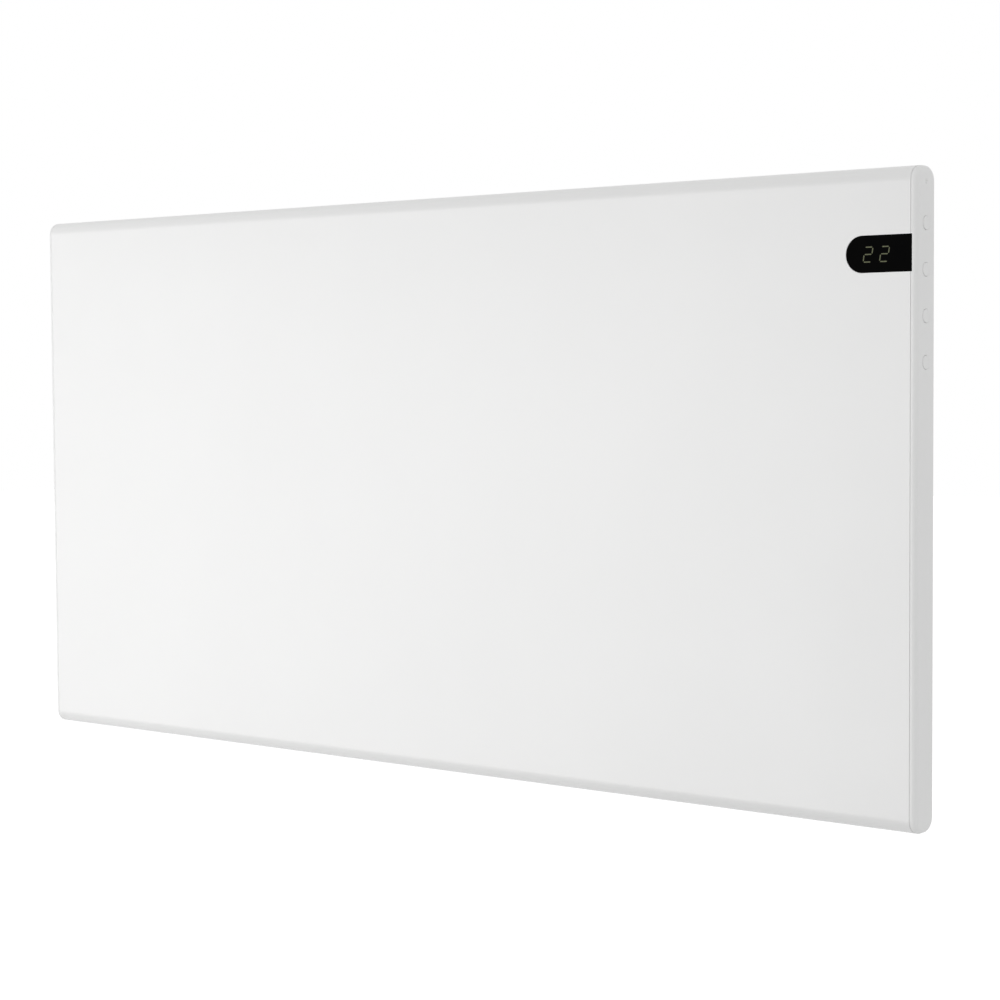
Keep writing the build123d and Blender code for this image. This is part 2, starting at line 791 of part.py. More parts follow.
# hook-shaped ears hang on the bracket's pins, so the heater lifts off
for side, name in sides:
    with BuildPart() as hinge_ear:
        ear_x = side * screw_pitch_x / 2
        with BuildSketch(at_y(tray_back)):
            with Locations((ear_x, pin_z)):
                Rectangle(ear_foot_width, ear_foot_height)
        extrude(amount=-ear_foot)
        with BuildSketch(at_x(ear_x)):
            with Locations((pin_y, pin_z)):
                Circle(ear_radius)
            with Locations((tray_back, pin_z)):
                Rectangle(pin_y - tray_back, 2 * ear_radius, align=(Align.MIN, Align.CENTER))
            with Locations((pin_y, pin_z)):
                Circle(pin_radius + pin_gap, mode=Mode.SUBTRACT)
            with Locations((pin_y, pin_z - ear_radius)):
                Rectangle(2 * (pin_radius + pin_gap), 2 * ear_radius, mode=Mode.SUBTRACT)
        extrude(amount=ear_thickness / 2, both=True)
    save(hinge_ear, f"{name}_hinge_ear")

with BuildPart() as tray_screws:
    with BuildSketch(at_y(shell_back + sheet)):
        with GridLocations(2 * tray_screw_x, 2 * tray_screw_z, 2, 2):
            RegularPolygon(screw_head_radius, head_sides)
    extrude(amount=-screw_head)
    with BuildSketch(at_y(shell_back + sheet)):
        with GridLocations(2 * tray_screw_x, 2 * tray_screw_z, 2, 2):
            RegularPolygon(screw_radius, shank_sides)
    extrude(amount=screw_length)
save(tray_screws, "tray_screws")

with BuildPart() as cap_screws:
    with BuildSketch(at_y(shell_back + sheet)):
        with GridLocations(2 * cap_screw_x, cap_screw_pitch, 2, 2):
            RegularPolygon(screw_head_radius, head_sides)
    extrude(amount=-screw_head)
    with BuildSketch(at_y(shell_back + sheet)):
        with GridLocations(2 * cap_screw_x, cap_screw_pitch, 2, 2):
            RegularPolygon(screw_radius, shank_sides)
    extrude(amount=screw_length)
save(cap_screws, "cap_screws")

# ---------------------------------------------------------------- shield, baffle and element

shield_left = spigot_depth + shield_end_gap - cap_seat
shield_bend_z = tray_z - tray_flange
with BuildPart() as heat_shield:
    lip_y = shell_back - sheet
    with BuildSketch(at_x(shield_left)):
        add(
            folded_profile(
                [
                    (lip_y, -shield_lip_top),
                    (lip_y, -tray_z),
                    (shield_y, -shield_bend_z),
                    (shield_y, shield_bend_z),
                    (lip_y, tray_z),
                    (lip_y, shield_lip_top),
                ],
                shield_bend,
                shield,
            )
        )
    extrude(amount=baffle_x - shield_baffle_gap - shield_left)
    with BuildSketch(at_y(shell_back)):
        with GridLocations(2 * tray_screw_x, 2 * tray_screw_z, 2, 2):
            RegularPolygon(screw_radius + hole_gap, shank_sides)
    extrude(amount=sheet + 2 * shield, mode=Mode.SUBTRACT)
save(heat_shield, "heat_shield")

with BuildPart() as baffle_plate:
    with BuildSketch(at_x(baffle_x)):
        with Locations(((front + sheet + tray_inner_back) / 2, 0)):
            Rectangle(tray_inner_back - front - sheet - 2 * baffle_side_gap, baffle_height)
        with Locations((element_y, element_z)):
            Rectangle(bush_size + 2 * fit, bush_size + 2 * fit, mode=Mode.SUBTRACT)
    extrude(amount=sheet)
    with BuildSketch(at_y(tray_inner_back)):
        with Locations((baffle_x, 0)):
            Rectangle(baffle_foot, baffle_height, align=(Align.MIN, Align.CENTER))
    extrude(amount=sheet)
save(baffle_plate, "baffle_plate")

# the extrusion: a round hub, four leaning arms and three short ribs on each arm
with BuildPart() as element_fins:
    with BuildSketch(at_x(element_left)):
        with Locations((element_y, element_z)):
            Circle(hub_radius)
        for arm_angle in (90 - arm_lean, 90 + arm_lean, 270 - arm_lean, 270 + arm_lean):
            with Locations(Location((element_y, element_z), arm_angle)):
                Rectangle(arm_length, arm_thickness, align=(Align.MIN, Align.CENTER))
                with Locations([(arm_length * share, 0) for share in rib_shares]):
                    Rectangle(rib_thickness, rib_height)
        with Locations((element_y, element_z)):
            Circle(rod_radius + hole_gap, mode=Mode.SUBTRACT)
    extrude(amount=element_right - element_left)
save(element_fins, "element_fins")

rod_left = element_left - hanger_gap - bush_length
rod_right = baffle_x + bush_length
with BuildPart() as element_rod:
    with BuildSketch(at_x(rod_left)):
        with Locations((element_y, element_z)):
            Circle(rod_radius)
    extrude(amount=rod_right - rod_left)
save(element_rod, "element_rod")

with BuildPart() as element_terminals:
    for offset_z in (-terminal_pitch / 2, terminal_pitch / 2):
        with BuildSketch(at_x(rod_right)):
            with Locations((element_y, element_z + offset_z)):
                Rectangle(terminal_pin, terminal_pin)
        extrude(amount=terminal_length)
        with BuildSketch(at_x(rod_right + terminal_length)):
            with Locations((element_y, element_z + offset_z)):
                Rectangle(terminal_tab, terminal_tab_thickness)
        extrude(amount=terminal_length)
save(element_terminals, "element_terminals")

bush_places = (element_left - hanger_gap, element_right + hanger_gap, baffle_x + sheet / 2)
hanger_length = element_back + bush_size / 2 + hanger_margin
for hanger_x, name in zip(bush_places, ("left", "right")):
    with BuildPart() as element_hanger:
        with BuildSketch(at_x(hanger_x)):
            with Locations((tray_inner_back, element_z)):
                Rectangle(hanger_length, hanger_height, align=(Align.MAX, Align.CENTER))
            with Locations((element_y, element_z)):
                Rectangle(bush_size + 2 * hole_gap, bush_size + 2 * hole_gap, mode=Mode.SUBTRACT)
        extrude(amount=hanger / 2, both=True)
        with BuildSketch(at_y(tray_inner_back)):
            with Locations((hanger_x, element_z)):
                Rectangle(hanger_foot, hanger_height, align=(Align.MIN, Align.CENTER))
        extrude(amount=hanger)
    save(element_hanger, f"{name}_element_hanger")

with BuildPart() as element_bushes:
    for bush_x in bush_places:
        with BuildSketch(at_x(bush_x)):
            with Locations((element_y, element_z)):
                Rectangle(bush_size, bush_size)
        extrude(amount=bush_length / 2, both=True)
        with BuildSketch(at_x(bush_x)):
            with Locations((element_y, element_z)):
                Circle(rod_radius + hole_gap)
        extrude(amount=bush_length, both=True, mode=Mode.SUBTRACT)
save(element_bushes, "element_bushes")

# ---------------------------------------------------------------- electronics

with BuildPart() as thermal_cutout:
    with BuildSketch(at_y(tray_inner_back - sheet)):
        with Locations((0, cutout_z)):
            Circle(cutout_radius)
    extrude(amount=cutout_height)
    with BuildSketch(at_y(tray_inner_back - sheet - cutout_height)):
        with Locations((0, cutout_z)):
            with GridLocations(cutout_radius, 1, 2, 1):
                Rectangle(terminal_tab_thickness, cutout_tab)
    extrude(amount=cutout_tab_length)
    # a thin foot lies on the tray
    with BuildSketch(at_y(tray_inner_back)):
        with Locations((0, cutout_z)):
            Rectangle(cutout_foot, cutout_foot_width)
    extrude(amount=sheet)
save(thermal_cutout, "thermal_cutout")

with BuildPart() as power_board:
    with BuildSketch(at_y(power_board_y)):
        with Locations((power_board_x, power_board_z)):
            Rectangle(power_board_width, power_board_height)
    extrude(amount=power_board_thickness)
save(power_board, "power_board")

board_front = power_board_y - power_board_thickness
standoff_x = power_board_width - 2 * standoff_inset
standoff_z = power_board_height - 2 * standoff_inset
with BuildPart() as board_standoffs:
    with BuildSketch(at_y(tray_inner_back)):
        with Locations((power_board_x, power_board_z)):
            with GridLocations(standoff_x, standoff_z, 2, 2):
                RegularPolygon(standoff_radius, 6)
    extrude(amount=standoff)
save(board_standoffs, "board_standoffs")

with BuildPart() as relay:
    with BuildSketch(at_y(board_front)):
        with Locations((power_board_x + relay_place[0], power_board_z + relay_place[1])):
            Rectangle(relay_size[0], relay_size[1])
    extrude(amount=relay_size[2])
save(relay, "relay")

with BuildPart() as transformer:
    with BuildSketch(at_y(board_front)):
        with Locations((power_board_x + transformer_place[0], power_board_z + transformer_place[1])):
            Rectangle(transformer_size[0], transformer_size[1])
    extrude(amount=transformer_size[2])
save(transformer, "transformer")

with BuildPart() as capacitors:
    with BuildSketch(at_y(board_front)):
        for place_x, place_z, capacitor_radius in capacitor_places:
            with Locations((power_board_x + place_x, power_board_z + place_z)):
                Circle(capacitor_radius)
    extrude(amount=capacitor_height)
save(capacitors, "capacitors")

with BuildPart() as board_fuse:
    with BuildSketch(at_y(board_front)):
        with Locations((power_board_x + fuse_place[0], power_board_z + fuse_place[1])):
            Rectangle(fuse_size[0], fuse_size[1])
    extrude(amount=fuse_size[2])
save(board_fuse, "board_fuse")

with BuildPart() as terminal_block:
    with BuildSketch(at_y(board_front)):
        with Locations((power_board_x, power_board_z - block_drop)):
            Rectangle(block_size[0], block_size[1])
    extrude(amount=block_size[2])
    with BuildSketch(at_y(board_front - block_size[2])):
        with Locations((power_board_x, power_board_z - block_drop)):
            with GridLocations(block_pitch, 1, block_ways, 1):
                Rectangle(block_entry, block_entry)
    extrude(amount=-block_entry_depth, mode=Mode.SUBTRACT)
save(terminal_block, "terminal_block")

floor_z = -tray_z + sheet
with BuildPart() as sensor_holder:
    with BuildSketch(at_z(floor_z)):
        with Locations((sensor_x, tray_mid_y + holder_back)):
            Rectangle(holder_size[0], holder_size[1])
    extrude(amount=holder_size[2])
    with BuildSketch(at_z(floor_z + holder_size[2] - holder_arm[2])):
        with Locations((sensor_x, tray_mid_y)):
            Rectangle(holder_arm[0], holder_arm[1])
    extrude(amount=holder_arm[2])
    with BuildSketch(at_z(floor_z)):
        with Locations((sensor_x, tray_mid_y)):
            Circle(sensor_radius + hole_gap)
    extrude(amount=holder_size[2], mode=Mode.SUBTRACT)
save(sensor_holder, "sensor_holder")

with BuildPart() as room_sensor:
    with BuildSketch(at_z(floor_z + sensor_rise)):
        with Locations((sensor_x, tray_mid_y)):
            Circle(sensor_radius)
    extrude(amount=sensor_length)
save(room_sensor, "room_sensor")

# ---------------------------------------------------------------- supply inlet

gland_foot = -tray_z - gland_hex_height
with BuildPart() as cable_gland:
    with BuildSketch(at_z(-tray_z)):
        with Locations((gland_x, gland_y)):
            RegularPolygon(gland_hex, 6)
    extrude(amount=-gland_hex_height)
    with BuildSketch(at_z(gland_foot)):
        with Locations((gland_x, gland_y)):
            Circle(gland_thread + fit)
    extrude(amount=-gland_cone, taper=gland_taper)
    with BuildSketch(at_z(-tray_z)):
        with Locations((gland_x, gland_y)):
            Circle(gland_thread)
    extrude(amount=gland_thread_length)
    with BuildSketch(at_z(gland_foot - gland_cone)):
        with Locations((gland_x, gland_y)):
            Circle(gland_bore)
    extrude(amount=gland_cone + gland_hex_height + gland_thread_length, mode=Mode.SUBTRACT)
save(cable_gland, "cable_gland")

with BuildPart() as gland_nut:
    with BuildSketch(at_z(floor_z)):
        with Locations((gland_x, gland_y)):
            RegularPolygon(gland_hex + gland_nut_margin, 6)
            Circle(gland_thread + hole_gap, mode=Mode.SUBTRACT)
    extrude(amount=gland_nut_height)
save(gland_nut, "gland_nut")

# a stud with a nut on the tray and a second one that clamps the lead
with BuildPart() as earth_screw:
    with BuildSketch(at_y(tray_inner_back)):
        with Locations((power_board_x + earth_place[0], power_board_z + earth_place[1])):
            RegularPolygon(earth_hex, 6)
    extrude(amount=earth_nut_height)
    with BuildSketch(at_y(tray_inner_back - earth_nut_height)):
        with Locations((power_board_x + earth_place[0], power_board_z + earth_place[1])):
            RegularPolygon(earth_stud, shank_sides)
    extrude(amount=earth_stud_length)
    with BuildSketch(at_y(tray_inner_back - earth_nut_height - earth_top_lift)):
        with Locations((power_board_x + earth_place[0], power_board_z + earth_place[1])):
            RegularPolygon(earth_top_hex, 6)
    extrude(amount=earth_nut_height)
save(earth_screw, "earth_screw")
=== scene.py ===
# %% [markdown]
# # A slim wall panel heater
#
# The object is a white electric panel heater that hangs on a steel bracket. Its CAD model already
# holds every piece at its real size, and it comes in here as a fixed frame. This file adds what the
# CAD model leaves plain: round edges fine enough to shine, keys, digits, screw recesses and a
# finish for every surface. All lengths are in metres, X runs to the right, Y runs into the wall
# and Z runs up.
#
# The first cell loads the frame. The finished model has to stay inside it.

# %% Load the frame
import json
import math

import bmesh
import bpy
import numpy as np
from mathutils import Matrix, Vector

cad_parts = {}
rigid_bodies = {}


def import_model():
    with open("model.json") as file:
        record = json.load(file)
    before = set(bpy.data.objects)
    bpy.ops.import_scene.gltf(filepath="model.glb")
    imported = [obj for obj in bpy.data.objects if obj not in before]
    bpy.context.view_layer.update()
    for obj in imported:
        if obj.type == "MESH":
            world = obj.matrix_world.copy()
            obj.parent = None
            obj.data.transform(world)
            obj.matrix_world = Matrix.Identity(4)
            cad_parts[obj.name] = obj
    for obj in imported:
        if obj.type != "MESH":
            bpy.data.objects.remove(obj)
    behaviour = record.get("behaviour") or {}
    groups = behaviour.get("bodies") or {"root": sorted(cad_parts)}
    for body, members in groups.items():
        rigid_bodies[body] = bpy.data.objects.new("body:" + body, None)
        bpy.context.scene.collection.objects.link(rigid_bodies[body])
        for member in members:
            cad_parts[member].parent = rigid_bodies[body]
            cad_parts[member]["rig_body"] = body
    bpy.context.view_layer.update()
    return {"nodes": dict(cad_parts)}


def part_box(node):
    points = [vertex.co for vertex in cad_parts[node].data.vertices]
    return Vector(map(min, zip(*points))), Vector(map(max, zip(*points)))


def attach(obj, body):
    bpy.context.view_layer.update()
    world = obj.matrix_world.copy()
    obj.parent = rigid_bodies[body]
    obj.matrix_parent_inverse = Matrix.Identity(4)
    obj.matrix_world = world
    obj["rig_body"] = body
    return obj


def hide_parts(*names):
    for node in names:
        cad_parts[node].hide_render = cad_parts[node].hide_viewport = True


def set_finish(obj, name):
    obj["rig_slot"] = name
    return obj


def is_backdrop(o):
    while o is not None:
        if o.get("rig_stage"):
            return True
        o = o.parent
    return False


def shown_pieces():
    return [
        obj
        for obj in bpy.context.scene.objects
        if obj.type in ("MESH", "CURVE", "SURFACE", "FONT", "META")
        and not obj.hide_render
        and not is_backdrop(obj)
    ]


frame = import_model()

MM = 0.001
nodes = frame["nodes"]

# %% [markdown]
# ## Camera
#
# A product photograph has a viewpoint that can be worked out from the straight edges of the object.
# Here the heater's four long edges gave the camera's place, its three angles and its focal length.
# The camera turns first about the upright axis, then tips down, then rolls a little, so the three
# rotations are multiplied in that order. No shift and no depth of field are needed.

# %% Camera
camera_place = Vector((1.0033, -1.2278, 0.0738))
camera_yaw, camera_tip, camera_roll = (math.radians(a) for a in (39.293, 3.132, -0.397))

camera = bpy.data.objects.new("camera", bpy.data.cameras.new("camera"))
bpy.context.scene.collection.objects.link(camera)
camera.data.sensor_width = 36.0
camera.data.lens = 84.80
camera.matrix_world = (
    Matrix.Translation(camera_place)
    @ Matrix.Rotation(camera_yaw, 4, "Z")
    @ Matrix.Rotation(math.pi / 2 - camera_tip, 4, "X")
    @ Matrix.Rotation(camera_roll, 4, "Z")
)
bpy.context.scene.camera = camera
print("camera", round((camera_place - Vector((0, -0.07, 0))).length, 3), "m from the heater")

# %% [markdown]
# ## Helpers for shader nodes
#
# A procedural material is a small graph of nodes. Writing one in Python takes three steps for each
# node: add it, set its options, and fill or link its sockets. `put` does the three in one call. A
# socket's value may be a number, a colour or another node's output.

# %% Node helpers
def put(tree, kind, inputs=None, **options):
    """Adds a shader node, sets its options, and fills or links the inputs named in a dictionary."""
    made = tree.nodes.new("ShaderNode" + kind)
    for option, value in options.items():
        setattr(made, option, value)
    for socket, value in (inputs or {}).items():
        if isinstance(value, bpy.types.NodeSocket):
            tree.links.new(value, made.inputs[socket])
        else:
            made.inputs[socket].default_value = value
    return made


def bare_tree(owner):
    """The node tree of a world or a material, emptied."""
    owner.use_nodes = True
    owner.node_tree.nodes.clear()
    return owner.node_tree


def grey(level):
    """A neutral colour of one level."""
    return (level, level, level, 1.0)


# %% [markdown]
# ## Stage and light
#
# The photograph shows the heater cut out on pure white. A white world seen by the camera gives that
# background, and another one lights the object: bright along the horizon, as the walls of a white
# room are, and dimmer overhead, so that the rounded top edge reads darker than the front. Light Path
# tells the two apart.

# %% World
ambient_level = 0.99
overhead_level = 0.67
overhead_from = 0.6
scene = bpy.context.scene
scene.view_settings.view_transform = "Standard"


def seen_directly(tree):
    """1 for camera, mirror and glass rays, and 0 for the rays that light the object."""
    path = put(tree, "LightPath").outputs
    either = put(tree, "Math", {0: path["Is Camera Ray"], 1: path["Is Glossy Ray"]}, operation="MAXIMUM")
    return put(tree, "Math", {0: either.outputs[0], 1: path["Is Transmission Ray"]},
               operation="MAXIMUM").outputs[0]


world = bpy.data.worlds.new("studio")
studio = bare_tree(world)
up = put(studio, "SeparateXYZ", {0: put(studio, "TexCoord").outputs["Generated"]}).outputs["Z"]
ambient = put(studio, "MapRange", {"Value": up, "From Min": 0.0, "From Max": overhead_from,
                                   "To Min": ambient_level, "To Max": overhead_level})
strength = put(studio, "MapRange", {"Value": seen_directly(studio),
                                    "To Min": ambient.outputs[0], "To Max": 1.0})
sky = put(studio, "Background", {"Color": grey(1.0), "Strength": strength.outputs[0]})
put(studio, "OutputWorld", {"Surface": sky.outputs[0]})
scene.world = world
print("world", ambient_level, "at the horizon and", overhead_level, "overhead")

# %% [markdown]
# The floor lies well below the heater, as it does under a heater on a wall. To the camera and in
# reflections it gives out a little light of its own, so it reads as white and still takes a shadow.

# %% Floor
floor_drop = 0.55
floor_half = 9.0
floor_grey = 0.80
floor_glow = 0.56
floor_corners = [(x * floor_half, y * floor_half, -floor_drop)
                 for x, y in ((-1, -1), (1, -1), (1, 1), (-1, 1))]
floor_mesh = bpy.data.meshes.new("floor")
floor_mesh.from_pydata(floor_corners, [], [(0, 1, 2, 3)])
floor = bpy.data.objects.new("floor", floor_mesh)
scene.collection.objects.link(floor)
floor_paint = bpy.data.materials.new("floor_paint")
floor_tree = bare_tree(floor_paint)
shine = put(floor_tree, "Emission", {"Color": grey(floor_glow), "Strength": seen_directly(floor_tree)})
matt = put(floor_tree, "BsdfDiffuse", {"Color": grey(floor_grey)})
both = put(floor_tree, "AddShader", {0: matt.outputs[0], 1: shine.outputs[0]})
put(floor_tree, "OutputMaterial", {"Surface": both.outputs[0]})
floor_mesh.materials.append(floor_paint)
floor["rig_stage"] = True
print("floor", floor_drop, "m below the heater's middle")

# %% [markdown]
# Two lamps face the wall. The key lamp stands in front of the panel's left end and makes that end a
# little brighter. It is hidden from mirror rays, so it has no reflection.
#
# The satin enamel in the photograph has a sheen on its flat front that stops short on the rounded
# top edge, which reads as a darker band. A matt surface can't do that, because its tone changes
# slowly as it turns. So the sheen lamp is seen by mirror rays alone. It hangs where the camera's rays
# go after they have met the flat front. On the round edge they turn up and miss it. Neither lamp
# shows in the picture, and the right end cap faces away from both, which tells its plane from the
# panel's.

# %% Lamps
def panel_lamp(name, place, width, height, power, for_gloss):
    """An upright area lamp at a place, facing the wall, for glossy rays or for all the others."""
    lamp = bpy.data.objects.new(name, bpy.data.lights.new(name, "AREA"))
    scene.collection.objects.link(lamp)
    lamp.data.shape = "RECTANGLE"
    lamp.data.size, lamp.data.size_y = width, height
    lamp.data.energy = power
    lamp.visible_camera = False
    lamp.visible_glossy = for_gloss
    lamp.visible_diffuse = not for_gloss
    lamp.location = place
    lamp.rotation_euler = (math.pi / 2, 0, 0)
    return lamp


key_lamp = panel_lamp("key_lamp", (-0.50, -0.88, -0.03), width=0.6, height=0.6, power=1.58,
                      for_gloss=False)
sheen_lamp = panel_lamp("sheen_lamp", (-0.88, -0.98, -0.09), width=1.75, height=0.90, power=11.6,
                        for_gloss=True)
print("lamps of", key_lamp.data.energy, "and", sheen_lamp.data.energy, "W")

# %% [markdown]
# ## Helpers for surfaces
#
# Every new piece is a set of patches. A patch is a grid of points: an array with rows, columns and
# three coordinates, worked out by a formula. `weld` joins patches whose borders share the same
# points, so that a closed body comes out of a handful of grids. Corners that fall together, as at a
# pole, turn a four-sided face into a triangle or remove it.

# %% Patch helpers
same_place = 0.0002 * MM
off_border = 0.37


def weld(patches):
    """Points and faces of several patches, with points that share a place made one. The places are
    compared on a fine lattice, set off a little so that round sizes don't fall on its borders."""
    points, faces, count = [], [], 0
    for patch in patches:
        rows, columns = patch.shape[:2]
        corner = count + np.arange(rows * columns).reshape(rows, columns)
        around = [corner[:-1, :-1], corner[:-1, 1:], corner[1:, 1:], corner[1:, :-1]]
        faces.append(np.stack(around, -1).reshape(-1, 4))
        points.append(patch.reshape(-1, 3))
        count += rows * columns
    points = np.concatenate(points)
    lattice = np.round(points / same_place + off_border).astype(np.int64)
    _, first, merged = np.unique(lattice, axis=0, return_index=True, return_inverse=True)
    faces = merged.reshape(-1)[np.concatenate(faces)]
    repeated = faces == np.roll(faces, -1, axis=1)
    quads = faces[repeated.sum(1) == 0]
    near_pole = repeated.sum(1) == 1
    triangles = faces[near_pole][~repeated[near_pole]].reshape(-1, 3)
    return points[first], quads.tolist() + triangles.tolist()


def xyz(x, y, z):
    """Stacks three arrays, stretched to one shape, into points."""
    return np.stack(np.broadcast_arrays(x, y, z), -1).astype(float)


# %% [markdown]
# A welded mesh becomes a piece in three steps. Its faces are pointed outwards, it is shaded smooth up
# to a crease angle, and it rides on a body of the CAD model, under a material slot and in place of
# the CAD nodes that it stands for. A narrow bevel, and normals taken from the large faces, finish it.

# %% Piece helpers
def finish_mesh(piece, crease):
    """Points the faces outwards and shades them smooth up to the crease angle, in degrees."""
    shape = bmesh.new()
    shape.from_mesh(piece.data)
    bmesh.ops.recalc_face_normals(shape, faces=shape.faces)
    shape.to_mesh(piece.data)
    shape.free()
    piece.data.shade_smooth()
    piece.data.set_sharp_from_angle(angle=math.radians(crease))


def ride_as(piece, body, slot, replaced):
    """Puts a piece on its CAD body, under its material slot, in place of CAD nodes."""
    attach(piece, body)
    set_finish(piece, slot)
    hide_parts(*replaced)
    stands_for = ", ".join(replaced) or "no CAD node"
    print(f"{piece.name}: {len(piece.data.vertices)} points on {body}, for {stands_for}")
    return piece


def new_piece(name, patches, body, slot, replaced=(), crease=35):
    """A piece made of welded patches, which rides on a CAD body."""
    points, faces = weld(patches)
    mesh = bpy.data.meshes.new(name)
    mesh.from_pydata(points.tolist(), [], faces)
    mesh.update()
    piece = bpy.data.objects.new(name, mesh)
    scene.collection.objects.link(piece)
    finish_mesh(piece, crease)
    return ride_as(piece, body, slot, replaced)


def even_normals(piece):
    """Lets large flat faces set the shading where they meet a narrow rounding."""
    piece.modifiers.new("even_normals", "WEIGHTED_NORMAL").keep_sharp = True


def break_edges(piece, width, segments, angle, clamp):
    """Breaks the edges sharper than an angle, in degrees, with a narrow bevel, and evens the
    shading beside it."""
    bevel = piece.modifiers.new("broken_edges", "BEVEL")
    bevel.width = width
    bevel.segments = segments
    bevel.angle_limit = math.radians(angle)
    bevel.use_clamp_overlap = clamp
    even_normals(piece)


# %% [markdown]
# ## Sizes read from the frame
#
# The CAD boxes already hold the sizes that the looks depend on, such as where the sheet ends and how
# deep the shell is. Reading them here keeps each piece in its place if the CAD model changes. A few
# radii can't be read from a box, so they are named values.

# %% Sizes
panel_low, panel_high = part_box("front_panel")
cap_low, cap_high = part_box("right_end_cap")
lens_low, lens_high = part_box("display_window")
front, shell_back = panel_low.y, panel_high.y
half_height = panel_high.z
panel_end = panel_high.x
shell_mid = (front + shell_back) / 2
edge_round = 8.5 * MM
sheet = 0.8 * MM
cap_strip = 3.0 * MM
cap_round = 2.6 * MM
cap_outside = cap_high.x
cap_seat = cap_outside - cap_strip
spigot_end = cap_low.x
spigot_wall = 1.8 * MM
spigot_inset = 1.0 * MM
seam_edge = 0.3 * MM
seam_depth = 0.25 * MM
land_end = cap_seat - 0.9 * MM
window_room = 0.1 * MM
lens_flange = 1.5 * MM
lens_radius = (lens_high.z - lens_low.z) / 2 - lens_flange
lens_front, lens_back = lens_low.y, lens_high.y
lens_end = lens_high.x
flange_end = panel_end - 0.2 * MM
window_x = lens_low.x + lens_flange + lens_radius
window_z = (lens_low.z + lens_high.z) / 2
window_gap = 0.2 * MM
flat_top = half_height - edge_round
print("panel", round(2 * panel_end / MM, 1), "x", round(2 * half_height / MM, 1), "mm, window radius",
      round(lens_radius / MM, 2), "mm")

# %% [markdown]
# ## Front panel
#
# The real panel is one steel sheet, folded back round the top and the bottom, with a notch for the
# display that is round at its left and open at the seam. It could be a box with rounded edges and
# the notch cut out by a boolean, but a boolean leaves long thin faces, and those shade badly on such
# a large, smooth surface. Here the sheet is a folded profile carried along X in two halves, above and
# below the window's centre line. To the right of the notch's tip the profile simply starts at the
# notch's edge, so the grid follows the notch. Solidify gives the sheet its thickness, and Bevel
# breaks its cut edges as paint does.

# %% Folded sheet
sheet_flange = 12.5 * MM
arc_steps = 14
# Two columns near the left end, and shares of the way up the flat front, closer near its borders.
near_end = (0.4 * MM, 4.0 * MM)
front_rows = np.concatenate([[0, 0.02], np.linspace(0.06, 0.97, 26), [0.994, 1]])[:, None]


def notch_edge(radius, end, straight_steps):
    """Columns along a notch that is round at its left: X, and the notch's half height there.
    Round the end X is the centre less the radius times the cosine, and the half height is the
    radius times the sine. After that the half height stays the radius."""
    turn = np.linspace(0, np.pi / 2, 25)
    straight = np.linspace(window_x, end, straight_steps + 1)[1:]
    return (np.concatenate([window_x - radius * np.cos(turn), straight]),
            np.concatenate([radius * np.sin(turn), np.full(straight.shape, radius)]))


def folded_half(side):
    """One half of the sheet's outer face, above (1) or below (-1) the window's centre line.
    Down each column a point runs from the notch, or from the centre line, up the flat front,
    round a quarter circle, over the flat top, round a second quarter circle and down the
    rear flange."""
    notch_x, notch_half = notch_edge(lens_radius + window_gap, panel_end, 10)
    plain_x = np.concatenate([[-panel_end, near_end[0] - panel_end],
                              np.linspace(near_end[1] - panel_end, notch_x[0], 60)])
    column_x = np.concatenate([plain_x, notch_x[1:]])
    start_z = window_z + side * np.concatenate([np.zeros(plain_x.shape), notch_half[1:]])
    flat_z = start_z + (side * flat_top - start_z) * front_rows
    turn = np.linspace(0, np.pi / 2, arc_steps + 1)[1:]
    flat_y = np.linspace(front + edge_round, shell_back - edge_round, 4)[1:]
    folded_y = np.concatenate([front + edge_round * (1 - np.cos(turn)), flat_y,
                               shell_back - edge_round * (1 - np.sin(turn)), [shell_back, shell_back]])
    folded_z = side * np.concatenate([flat_top + edge_round * np.sin(turn), np.full(3, half_height),
                                      flat_top + edge_round * np.cos(turn),
                                      [flat_top - sheet_flange / 2, flat_top - sheet_flange]])
    y = np.concatenate([np.full(front_rows.size, front), folded_y])[:, None]
    z = np.concatenate([flat_z, np.broadcast_to(folded_z[:, None], (folded_z.size, column_x.size))])
    return xyz(column_x[None, :], y, z)


folded_panel = new_piece("folded_front_panel", [folded_half(1), folded_half(-1)],
                         "heater", "white_paint", ["front_panel"])
thickness = folded_panel.modifiers.new("thickness", "SOLIDIFY")
thickness.thickness = sheet
thickness.offset = -1
break_edges(folded_panel, width=0.26 * MM, segments=3, angle=60, clamp=True)

# %% [markdown]
# ## End caps
#
# A cap is a moulding: a thin rounded strip that shows beside the sheet, and a hollow spigot that
# plugs into it. Every ring round it is the same rounded rectangle, moved in by some amount, so one
# formula gives all of them and their points match. The rings run from the outer face over the
# rounding, down to the seat, over a sunk land that shows as the seam, along the spigot and back
# inside it. Both flat faces are laid out as cells with a hole in each, whose borders fall on the
# same points as the rings.

# %% Rounded outline
corner_steps = 9
half_depth = (shell_back - front) / 2
corner_reach = half_depth - edge_round
plain_step = 9.0 * MM
cell_step = 1.34 * MM
knot_room = 0.15 * MM
sliver = 0.001 * MM


def end_run(inset, side):
    """The run over the top (1) or under the bottom (-1) of the outline: a quarter circle, a flat
    and a quarter circle. The corner radius is the edge rounding less the inset, about fixed centres."""
    radius = edge_round - inset
    turn = np.linspace(0, np.pi / 2, corner_steps + 1)
    flat_y = np.linspace(-corner_reach, corner_reach, 5)[1:-1]
    y = np.concatenate([-corner_reach - radius * np.cos(turn), flat_y, corner_reach + radius * np.sin(turn)])
    z = np.concatenate([flat_top + radius * np.sin(turn), np.full(3, half_height - inset),
                        flat_top + radius * np.cos(turn)])
    return shell_mid + y, side * z


